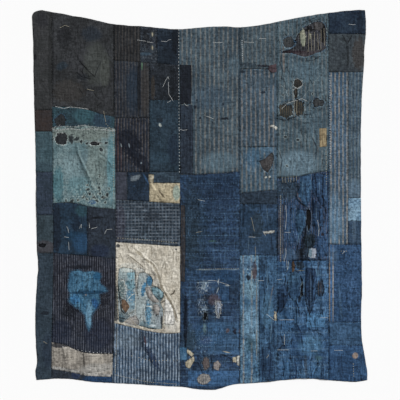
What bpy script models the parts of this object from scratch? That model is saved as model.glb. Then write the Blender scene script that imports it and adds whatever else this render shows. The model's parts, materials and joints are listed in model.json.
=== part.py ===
"""Boro patched cloth: a worn indigo bed cover pieced from panels and patches, lying flat.

Places on the cloth are taped in centimetres: across from a line about a metre left of
its middle, and down from a line about a metre above it. The cloth lies on the surface,
its head end towards +Y, and its folds stand up from there.
"""

import math

import bpy
import bmesh
import numpy as np

MIDDLE_ACROSS = 99.918
MIDDLE_DOWN = 99.964
CENTIMETRE = 0.01
MILLIMETRE = 0.001
CLOTH_THICKNESS = 0.003
SEAM_GAP = 0.0003
ACROSS_STEP = 2.9
FLAT_STEP = 4.2
FOLD_STEP = 2.9
FOLD_BLEND = 3.0
MAPPING_ROUNDS = 4

# Each line that runs down the cloth: down, across
LONG_LINES = {
    "left edge": (
        (5.0, 17.2), (7.0, 16.5), (10.0, 16.2), (19.0, 16.5), (47.5, 17.0), (75.0, 17.75),
        (110.0, 18.25),
        (127.0, 18.6), (133.0, 19.1), (140.0, 18.6), (162.5, 17.65), (173.0, 18.0),
        (181.0, 18.5), (188.0, 17.7), (191.0, 18.5),
    ),
    "border": ((0.0, 25.6), (65.0, 26.2), (145.0, 26.45), (170.0, 25.9), (192.0, 25.75)),
    "a to b": ((0.0, 56.6), (50.0, 57.2), (100.0, 57.75), (155.0, 57.5), (180.0, 56.4), (195.0, 56.1)),
    "b to c": ((0.0, 89.1), (60.0, 89.5), (100.0, 90.0), (196.0, 90.0)),
    "c to d": ((0.0, 119.9), (196.0, 119.9)),
    "d to e": ((0.0, 138.5), (196.0, 138.5)),
    "e to r": ((0.0, 164.35), (196.0, 164.35)),
    "right edge": (
        (4.0, 182.3), (11.0, 183.0), (25.0, 182.2), (40.0, 181.5), (50.0, 180.9),
        (95.0, 180.5), (130.0, 180.8), (145.0, 181.0), (160.0, 180.5), (170.0, 181.0),
        (175.0, 181.8), (181.0, 182.8), (188.5, 183.8), (191.0, 183.6),
    ),
    "speckled left": ((0.0, 70.0), (40.0, 70.0)),
    "speckled right": ((0.0, 78.5), (40.0, 78.5)),
    "b middle": ((20.0, 74.75), (110.0, 74.6)),
    "violet right": ((80.0, 63.5), (110.0, 63.5)),
    "strip between": ((120.0, 129.5), (196.0, 129.5)),
    "r split": ((30.0, 174.0), (130.0, 174.0)),
}

# A line at a share of the way between two others, so that pieces meet it point to point
SHARED_LINES = {"navy patch right": ("border", "a to b", 6 / 11)}

# Each line that runs across the cloth: across, down
CROSS_LINES = {
    "head": (
        (16.2, 7.0), (18.2, 5.6), (25.0, 5.9), (36.0, 7.8), (45.5, 9.5), (51.0, 10.9),
        (58.0, 12.2), (72.0, 13.2), (89.0, 14.6), (102.5, 13.6), (112.0, 13.3), (120.0, 13.6),
        (132.5, 12.1), (142.5, 10.1), (158.0, 7.3), (172.5, 5.5), (179.0, 5.0), (184.0, 5.2),
    ),
    "foot": (
        (17.5, 190.1), (24.0, 189.5), (35.0, 189.5), (45.0, 190.8), (62.5, 191.8), (87.5, 193.3),
        (92.5, 193.6), (97.5, 194.4), (103.0, 194.9), (109.0, 194.6), (115.0, 192.6),
        (127.5, 191.5), (142.5, 190.0), (150.0, 189.3), (157.5, 189.5), (170.0, 190.5),
        (178.0, 190.9), (184.0, 190.0),
    ),
    "border 1": ((16.0, 55.0), (27.0, 55.0)),
    "border 2": ((16.0, 65.75), (27.0, 65.75)),
    "border 3": ((16.0, 86.0), (27.0, 86.0)),
    "border 4": ((16.0, 107.5), (27.0, 107.5)),
    "border 5": ((16.0, 126.5), (27.0, 126.5)),
    "charcoal foot": ((26.0, 53.5), (35.0, 53.5), (45.0, 55.2), (52.5, 57.5), (58.0, 58.6)),
    "light head": ((26.0, 64.0), (58.0, 64.5)),
    "light foot": ((26.0, 101.5), (37.5, 101.5), (45.0, 103.3), (58.0, 104.6)),
    "fine stripe head": ((26.0, 126.5), (44.0, 128.0), (58.0, 129.5)),
    "beige head": ((25.0, 171.2), (31.0, 172.0), (40.0, 175.7), (57.0, 177.0)),
    "beige foot": ((25.0, 183.9), (32.5, 184.75), (41.5, 187.0), (48.0, 187.75), (57.0, 187.5)),
    "b third": ((56.0, 30.0), (90.5, 32.6)),
    "stripes foot": ((56.0, 59.0), (76.0, 59.0)),
    "dark speckled foot": ((74.0, 50.0), (90.0, 50.0)),
    "blocks head": ((57.0, 86.0), (90.0, 86.0)),
    "small cream head": ((74.0, 91.5), (90.5, 91.5)),
    "check head": ((57.0, 99.7), (90.5, 101.8)),
    "check foot": ((57.0, 121.0), (90.5, 123.3)),
    "cream foot": ((56.5, 161.4), (62.5, 162.8), (74.0, 165.4), (82.5, 166.7), (90.5, 166.5)),
    "c middle": ((89.0, 87.4), (107.0, 86.8), (120.0, 85.7)),
    "d 1": ((119.0, 34.5), (139.0, 34.5)),
    "d 2": ((119.0, 73.5), (139.0, 73.5)),
    "d 3": ((119.0, 96.6), (139.0, 94.7)),
    "d 4": ((119.0, 102.0), (139.0, 102.0)),
    "d 5": ((119.0, 127.7), (139.0, 127.5)),
    "e 1": ((138.0, 89.0), (147.5, 88.5), (159.0, 86.2), (165.0, 85.4)),
    "e 2": ((138.0, 130.5), (165.0, 130.0)),
    "r 1": ((164.0, 17.0), (184.0, 17.0)),
    "r 2": ((164.0, 36.0), (184.0, 36.0)),
    "r1 foot": ((164.0, 122.2), (184.0, 122.2)),
    "r2 foot": ((173.0, 99.0), (182.0, 99.0)),
    "r light foot": ((173.0, 110.5), (182.0, 110.5)),
    "r 3": ((164.0, 161.0), (184.0, 161.0)),
    "r 4": ((164.0, 172.5), (184.0, 172.5)),
}

COLOURS = {
    "charcoal": (0.045, 0.048, 0.052),
    "brown black": (0.040, 0.031, 0.029),
    "slate": (0.046, 0.087, 0.108),
    "navy": (0.026, 0.040, 0.062),
    "deep navy": (0.016, 0.024, 0.042),
    "indigo": (0.023, 0.055, 0.110),
    "blue": (0.052, 0.105, 0.165),
    "pale teal": (0.160, 0.270, 0.300),
    "grey blue": (0.075, 0.115, 0.150),
    "violet grey": (0.046, 0.042, 0.056),
    "cream": (0.620, 0.540, 0.430),
    "beige": (0.340, 0.300, 0.240),
    "ticking": (0.110, 0.155, 0.230),
}

# Each piece: its lines at the left, right, head and foot side, its mesh step and colour
PIECES = {
    "border_charcoal": ("left edge", "border", "head", "border 1", FLAT_STEP, "charcoal"),
    "border_brown": ("left edge", "border", "border 1", "border 2", FLAT_STEP, "brown black"),
    "border_slate": ("left edge", "border", "border 2", "border 3", FLAT_STEP, "slate"),
    "border_navy": ("left edge", "border", "border 3", "border 4", FLAT_STEP, "navy"),
    "border_green": ("left edge", "border", "border 4", "border 5", FLAT_STEP, "charcoal"),
    "border_dark": ("left edge", "border", "border 5", "foot", FLAT_STEP, "navy"),
    "charcoal_panel": ("border", "a to b", "head", "charcoal foot", FLAT_STEP, "charcoal"),
    "teal_band": ("border", "a to b", "charcoal foot", "light head", FLAT_STEP, "slate"),
    "light_patch": ("border", "a to b", "light head", "light foot", FOLD_STEP, "pale teal"),
    "navy_patch": ("border", "navy patch right", "light foot", "fine stripe head", FLAT_STEP, "indigo"),
    "charcoal_patch": (
        "navy patch right", "a to b", "light foot", "fine stripe head", FLAT_STEP, "navy"),
    "fine_stripe_patch": ("border", "a to b", "fine stripe head", "beige head", FLAT_STEP, "deep navy"),
    "beige_patch": ("border", "a to b", "beige head", "beige foot", FOLD_STEP, "beige"),
    "hem_strip": ("border", "a to b", "beige foot", "foot", FLAT_STEP, "indigo"),
    "brown_striped_panel": (
        "a to b", "speckled left", "head", "b third", FLAT_STEP, "brown black"),
    "speckled_patch": ("speckled left", "speckled right", "head", "b third", FLAT_STEP, "charcoal"),
    "navy_top_patch": ("speckled right", "b to c", "head", "b third", FLAT_STEP, "navy"),
    "striped_panel": ("a to b", "b middle", "b third", "stripes foot", FLAT_STEP, "deep navy"),
    "dark_speckled_patch": (
        "b middle", "b to c", "b third", "dark speckled foot", FLAT_STEP, "deep navy"),
    "navy_teal_patch": ("b middle", "b to c", "dark speckled foot", "blocks head", FLAT_STEP, "navy"),
    "striped_patch": ("a to b", "b middle", "stripes foot", "blocks head", FLAT_STEP, "navy"),
    "violet_block": ("a to b", "violet right", "blocks head", "check head", FLAT_STEP, "violet grey"),
    "navy_block": ("violet right", "b middle", "blocks head", "check head", FLAT_STEP, "navy"),
    "blue_grey_band": ("b middle", "b to c", "blocks head", "small cream head", FLAT_STEP, "grey blue"),
    "small_cream_patch": ("b middle", "b to c", "small cream head", "check head", FLAT_STEP, "cream"),
    "check_patch": ("a to b", "b to c", "check head", "check foot", FLAT_STEP, "navy"),
    "cream_patch": ("a to b", "b to c", "check foot", "cream foot", FOLD_STEP, "cream"),
    "ticking_patch": ("a to b", "b to c", "cream foot", "foot", FOLD_STEP, "ticking"),
    "wide_striped_panel": ("b to c", "c to d", "head", "c middle", FLAT_STEP, "grey blue"),
    "indigo_panel": ("b to c", "c to d", "c middle", "foot", FOLD_STEP, "indigo"),
    "plain_panel": ("c to d", "d to e", "head", "d 1", FLAT_STEP, "grey blue"),
    "strong_striped_panel": ("c to d", "d to e", "d 1", "d 2", FLAT_STEP, "grey blue"),
    "lower_striped_panel": ("c to d", "d to e", "d 2", "d 3", FLAT_STEP, "grey blue"),
    "dark_piece": ("c to d", "d to e", "d 3", "d 4", FLAT_STEP, "deep navy"),
    "indigo_piece": ("c to d", "d to e", "d 4", "d 5", FLAT_STEP, "indigo"),
    "light_striped_strip": ("c to d", "strip between", "d 5", "foot", FOLD_STEP, "blue"),
    "blue_strip": ("strip between", "d to e", "d 5", "foot", FOLD_STEP, "blue"),
    "grey_blue_panel": ("d to e", "e to r", "head", "e 1", FOLD_STEP, "grey blue"),
    "torn_panel": ("d to e", "e to r", "e 1", "e 2", FOLD_STEP, "navy"),
    "navy_panel": ("d to e", "e to r", "e 2", "foot", FOLD_STEP, "indigo"),
    "navy_corner": ("e to r", "right edge", "head", "r 1", FLAT_STEP, "navy"),
    "charcoal_brown_patch": ("e to r", "right edge", "r 1", "r 2", FLAT_STEP, "charcoal"),
    "tan_striped_strip": ("e to r", "r split", "r 2", "r1 foot", FLAT_STEP, "grey blue"),
    "grey_striped_strip": ("r split", "right edge", "r 2", "r2 foot", FLAT_STEP, "grey blue"),
    "right_light_patch": ("r split", "right edge", "r2 foot", "r light foot", FLAT_STEP, "blue"),
    "right_indigo_block": ("r split", "right edge", "r light foot", "r1 foot", FLAT_STEP, "indigo"),
    "right_indigo_panel": ("e to r", "right edge", "r1 foot", "r 3", FLAT_STEP, "indigo"),
    "right_light_band": ("e to r", "right edge", "r 3", "r 4", FLAT_STEP, "blue"),
    "lower_corner": ("e to r", "right edge", "r 4", "foot", FLAT_STEP, "indigo"),
}

# Each fold: from across, down, to across, down, its width in centimetres and height in millimetres
FOLDS = {
    "centre seam fold": (93.0, 149.0, 93.3, 172.0, 8.0, 14.0),
    "centre seam fold top": (94.0, 136.0, 93.0, 149.0, 8.0, 7.0),
    "torn flap": (152.0, 90.0, 153.5, 104.0, 9.0, 12.0),
    "torn ridge upper": (150.0, 103.0, 153.5, 117.0, 9.0, 17.0),
    "torn ridge right": (159.0, 97.0, 160.0, 127.0, 8.0, 14.0),
    "torn ridge lower": (148.5, 118.0, 147.0, 134.0, 8.0, 13.0),
    "bundle 1": (142.0, 131.0, 143.5, 158.0, 7.5, 10.0),
    "bundle 2": (148.5, 134.0, 150.0, 162.0, 8.0, 15.0),
    "bundle 3": (154.5, 128.0, 156.0, 158.0, 7.5, 11.0),
    "bundle 4": (161.0, 128.0, 161.5, 160.0, 7.5, 9.0),
    "cream crease 1": (65.0, 125.0, 77.5, 136.5, 8.0, 10.0),
    "cream crease 2": (77.5, 136.5, 82.5, 151.0, 8.0, 10.0),
    "cream crease 3": (82.5, 151.0, 88.0, 164.0, 8.0, 8.0),
    "light crease 1": (38.5, 75.0, 42.0, 84.0, 8.0, 8.0),
    "light crease 2": (42.0, 84.0, 47.0, 95.0, 8.0, 6.0),
    "light crease 3": (50.0, 78.5, 55.0, 81.5, 7.5, 6.0),
    "ticking crease": (71.5, 169.0, 79.0, 185.0, 8.0, 8.0),
    "beige crease": (42.0, 177.0, 42.8, 185.0, 7.5, 5.0),
    "blue strip crease": (135.0, 149.0, 131.8, 163.0, 7.5, 8.0),
    "blue strip hem crease": (133.0, 172.0, 134.0, 188.0, 8.0, 9.0),
    "hem crease 1": (147.5, 176.0, 147.5, 187.0, 7.5, 7.0),
    "hem crease 2": (154.0, 172.0, 152.5, 187.0, 7.5, 8.0),
    "hem crease 3": (161.0, 168.0, 162.0, 187.0, 8.0, 9.0),
    "worn hollow ridge": (103.0, 145.0, 104.0, 165.0, 9.0, 7.0),
    "indigo swell": (110.0, 103.0, 108.0, 127.0, 14.0, 5.0),
    "charcoal crease": (38.0, 28.0, 47.0, 39.0, 14.0, 6.0),
    "grey tear ridge": (140.0, 57.5, 154.0, 61.0, 8.0, 7.0),
    "grey hole ridge": (152.0, 12.0, 158.0, 28.0, 10.0, 8.0),
    "right corner crease": (176.0, 17.0, 174.5, 33.0, 12.0, 5.0),
    "striped swell": (104.0, 30.0, 103.0, 58.0, 18.0, 5.0),
    "fine stripe swell": (34.0, 146.0, 51.0, 147.0, 14.0, 6.0),
    "check swell": (64.0, 112.0, 84.0, 112.0, 16.0, 4.0),
    "border swell": (20.0, 96.0, 22.0, 112.0, 12.0, 4.0),
}


def smooth_line(points):
    """A smooth line through a few taped points, as a function from station to offset."""
    stations, offsets = (np.array(row) for row in zip(*points))
    slopes = np.gradient(offsets, stations)

    def offset_at(station):
        station = min(max(station, stations[0]), stations[-1])
        right = int(min(max(np.searchsorted(stations, station), 1), len(stations) - 1))
        span = stations[right] - stations[right - 1]
        t = (station - stations[right - 1]) / span
        return (
            (1 + 2 * t) * (1 - t) ** 2 * offsets[right - 1]
            + t * (1 - t) ** 2 * span * slopes[right - 1]
            + t * t * (3 - 2 * t) * offsets[right]
            + t * t * (t - 1) * span * slopes[right]
        )

    return offset_at


def fold_height(across, down):
    """How far the cloth's underside stands up from the surface, in metres."""
    total = 0.0
    for from_across, from_down, to_across, to_down, width, height in FOLDS.values():
        along_x, along_y = to_across - from_across, to_down - from_down
        reach = (across - from_across) * along_x + (down - from_down) * along_y
        t = min(max(reach / (along_x**2 + along_y**2), 0.0), 1.0)
        away = math.hypot(across - from_across - t * along_x, down - from_down - t * along_y)
        if away < width / 2:
            total += (height * math.cos(math.pi * away / width) ** 2) ** FOLD_BLEND
    return total ** (1 / FOLD_BLEND) * MILLIMETRE


def lerp(start, end, share):
    return start + (end - start) * share


def long_line(name):
    """A line that runs down the cloth, as a function from down to across."""
    if name not in SHARED_LINES:
        return smooth_line(LONG_LINES[name])
    left, right, share = SHARED_LINES[name]
    return lambda down: lerp(long_line(left)(down), long_line(right)(down), share)


def cloth_point(sides, share_across, share_down):
    """The taped place at these shares of the way across and down between four lines."""
    left, right, head, foot = sides
    across = lerp(left(MIDDLE_DOWN), right(MIDDLE_DOWN), share_across)
    for _ in range(MAPPING_ROUNDS):
        down = lerp(head(across), foot(across), share_down)
        across = lerp(left(down), right(down), share_across)
    return across, down


def cloth_material(colour):
    material = bpy.data.materials.new(colour.replace(" ", "_"))
    material.use_nodes = True
    shader = material.node_tree.nodes["Principled BSDF"]
    shader.inputs["Base Color"].default_value = (*COLOURS[colour], 1.0)
    shader.inputs["Roughness"].default_value = 0.9
    shader.inputs["Metallic"].default_value = 0.0
    return material


def sewn_piece(name, lines, materials, collection):
    """One flat-lying piece: a grid between its four lines, raised over the folds."""
    left, right, head, foot, step, colour = lines
    sides = (
        long_line(left), long_line(right),
        smooth_line(CROSS_LINES[head]), smooth_line(CROSS_LINES[foot]),
    )
    first, last = cloth_point(sides, 0.0, 0.0), cloth_point(sides, 1.0, 1.0)
    columns = max(2, round((last[0] - first[0]) / ACROSS_STEP))
    rows = max(2, round((last[1] - first[1]) / step))
    bpy.ops.mesh.primitive_grid_add(x_subdivisions=columns, y_subdivisions=rows, size=2.0)
    piece = bpy.context.object
    piece.name = piece.data.name = name
    half_gap = SEAM_GAP / 2
    for vertex in piece.data.vertices:
        side_x, side_y = round(vertex.co.x, 6), round(vertex.co.y, 6)
        across, down = cloth_point(sides, (1 + side_x) / 2, (1 - side_y) / 2)
        inset_x = half_gap * math.copysign(1.0, side_x) if abs(side_x) == 1.0 else 0.0
        inset_y = half_gap * math.copysign(1.0, side_y) if abs(side_y) == 1.0 else 0.0
        vertex.co = (
            (across - MIDDLE_ACROSS) * CENTIMETRE - inset_x,
            (MIDDLE_DOWN - down) * CENTIMETRE - inset_y,
            fold_height(across, down),
        )
    thicken(piece.data)
    piece.data.materials.append(materials[colour])
    piece.data.shade_smooth()
    piece.data.set_sharp_from_angle(angle=math.radians(40))
    for other in piece.users_collection:
        other.objects.unlink(piece)
    collection.objects.link(piece)
    return piece


def thicken(mesh):
    """Raises a copy of the grid by the cloth's thickness, with upright walls round it."""
    work = bmesh.new()
    work.from_mesh(mesh)
    raised = bmesh.ops.extrude_face_region(work, geom=work.faces[:], use_keep_orig=True)
    verts = [item for item in raised["geom"] if isinstance(item, bmesh.types.BMVert)]
    bmesh.ops.translate(work, verts=verts, vec=(0.0, 0.0, CLOTH_THICKNESS))
    bmesh.ops.recalc_face_normals(work, faces=work.faces[:])
    work.to_mesh(mesh)
    work.free()


def main():
    for thing in list(bpy.data.objects):
        bpy.data.objects.remove(thing)
    collection = bpy.data.collections.new("boro patched cloth")
    bpy.context.scene.collection.children.link(collection)
    materials = {colour: cloth_material(colour) for colour in COLOURS}
    for name, lines in PIECES.items():
        sewn_piece(name, lines, materials, collection)


main()
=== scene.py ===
"""Dresses the boro patched cloth: worn indigo cotton, patches, sewing, holes and tears."""
import json
import math

import bmesh
import bpy
import numpy as np
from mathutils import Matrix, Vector, kdtree, noise
from mathutils.bvhtree import BVHTree
from mathutils.geometry import delaunay_2d_cdt

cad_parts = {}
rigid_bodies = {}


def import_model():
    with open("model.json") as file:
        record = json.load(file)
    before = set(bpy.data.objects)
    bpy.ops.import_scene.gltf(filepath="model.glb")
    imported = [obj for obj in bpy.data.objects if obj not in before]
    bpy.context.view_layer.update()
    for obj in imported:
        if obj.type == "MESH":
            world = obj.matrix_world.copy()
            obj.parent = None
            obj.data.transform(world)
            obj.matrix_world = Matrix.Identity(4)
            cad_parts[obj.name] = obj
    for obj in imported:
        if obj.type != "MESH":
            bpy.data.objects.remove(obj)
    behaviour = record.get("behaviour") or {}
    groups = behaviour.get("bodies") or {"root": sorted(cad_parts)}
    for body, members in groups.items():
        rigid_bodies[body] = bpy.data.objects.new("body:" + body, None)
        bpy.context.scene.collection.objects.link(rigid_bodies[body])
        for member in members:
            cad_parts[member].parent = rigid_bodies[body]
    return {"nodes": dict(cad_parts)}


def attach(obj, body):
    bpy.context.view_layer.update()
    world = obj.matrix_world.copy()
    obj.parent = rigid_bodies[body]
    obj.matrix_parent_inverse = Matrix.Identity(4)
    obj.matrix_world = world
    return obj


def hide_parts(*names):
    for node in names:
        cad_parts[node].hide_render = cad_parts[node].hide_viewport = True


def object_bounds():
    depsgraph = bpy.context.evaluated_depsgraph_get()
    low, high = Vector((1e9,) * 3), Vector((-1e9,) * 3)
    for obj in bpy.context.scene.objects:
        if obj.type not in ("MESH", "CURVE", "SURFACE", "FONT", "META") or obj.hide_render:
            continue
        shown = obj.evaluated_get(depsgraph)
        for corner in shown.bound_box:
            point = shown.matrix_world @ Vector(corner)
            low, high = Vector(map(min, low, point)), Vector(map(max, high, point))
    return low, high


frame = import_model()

bl_info = {
    "name": "Boro Patched Cloth",
    "version": (1, 0, 0),
    "blender": (4, 5, 0),
    "location": "View3D > Sidebar > Boro",
    "description": "Makes the cloth, patches, sewing and light of a boro bed cover",
    "category": "Object",
}

# Places on the cloth are taped in centimetres, across from the left and down from the head
MIDDLE_ACROSS = 99.918
MIDDLE_DOWN = 99.964
CENTIMETRE = 0.01
MILLIMETRE = 0.001
CLOTH_THICKNESS = 0.003
WELD = 0.00001
GRID_STEP = 0.0055
CAD_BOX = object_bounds()
RAG_STEP = 0.006
OUTLINE_STEP = 0.004
RAG_OUTLINE_STEP = 0.0035
TOP_LIMIT = 0.0285
LOOSE_SHARE = 0.16
FRINGE_SHARE = 0.23
PATH_LIFT = 0.0006


def place(across, down):
    """The metre position of a taped place."""
    return (across - MIDDLE_ACROSS) * CENTIMETRE, (MIDDLE_DOWN - down) * CENTIMETRE


def dye(code):
    """A web colour as a linear colour with full alpha."""
    parts = [int(code[i:i + 2], 16) / 255 for i in (1, 3, 5)]
    return tuple(p / 12.92 if p <= 0.04045 else ((p + 0.055) / 1.055) ** 2.4 for p in parts) + (1.0,)


def cotton(ground, faded, stripes=(), stains=(), moths=(), specks=0.0, worn=0.0,
           worn_colour="#7f8f98", streaks=0.6, grain=0.9, speck="#a9b0b2", bands=0.0,
           wrinkle_shade_and_relief=0.4, blocks=(), painted_folds_and_marks=(), bites=(), frayed="#7d8f98"):
    """How one piece of cotton looks: its dye, stripes, stains, moth holes, specks and bare yarns, and
    the shade and highlights painted along its folds, slits and edges.
    """
    return {
        "ground": ground, "faded": faded, "stripes": stripes, "stains": stains, "moths": moths,
        "specks": specks, "worn": worn, "worn_colour": worn_colour, "streaks": streaks,
        "grain": grain, "speck": speck, "bands": bands, "wrinkle_shade_and_relief": wrinkle_shade_and_relief, "blocks": blocks,
        # edge: how strongly shade is painted along the piece's edges
        "painted_folds_and_marks": painted_folds_and_marks, "bites": bites, "frayed": frayed, "edge": 0.4,
    }
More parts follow.
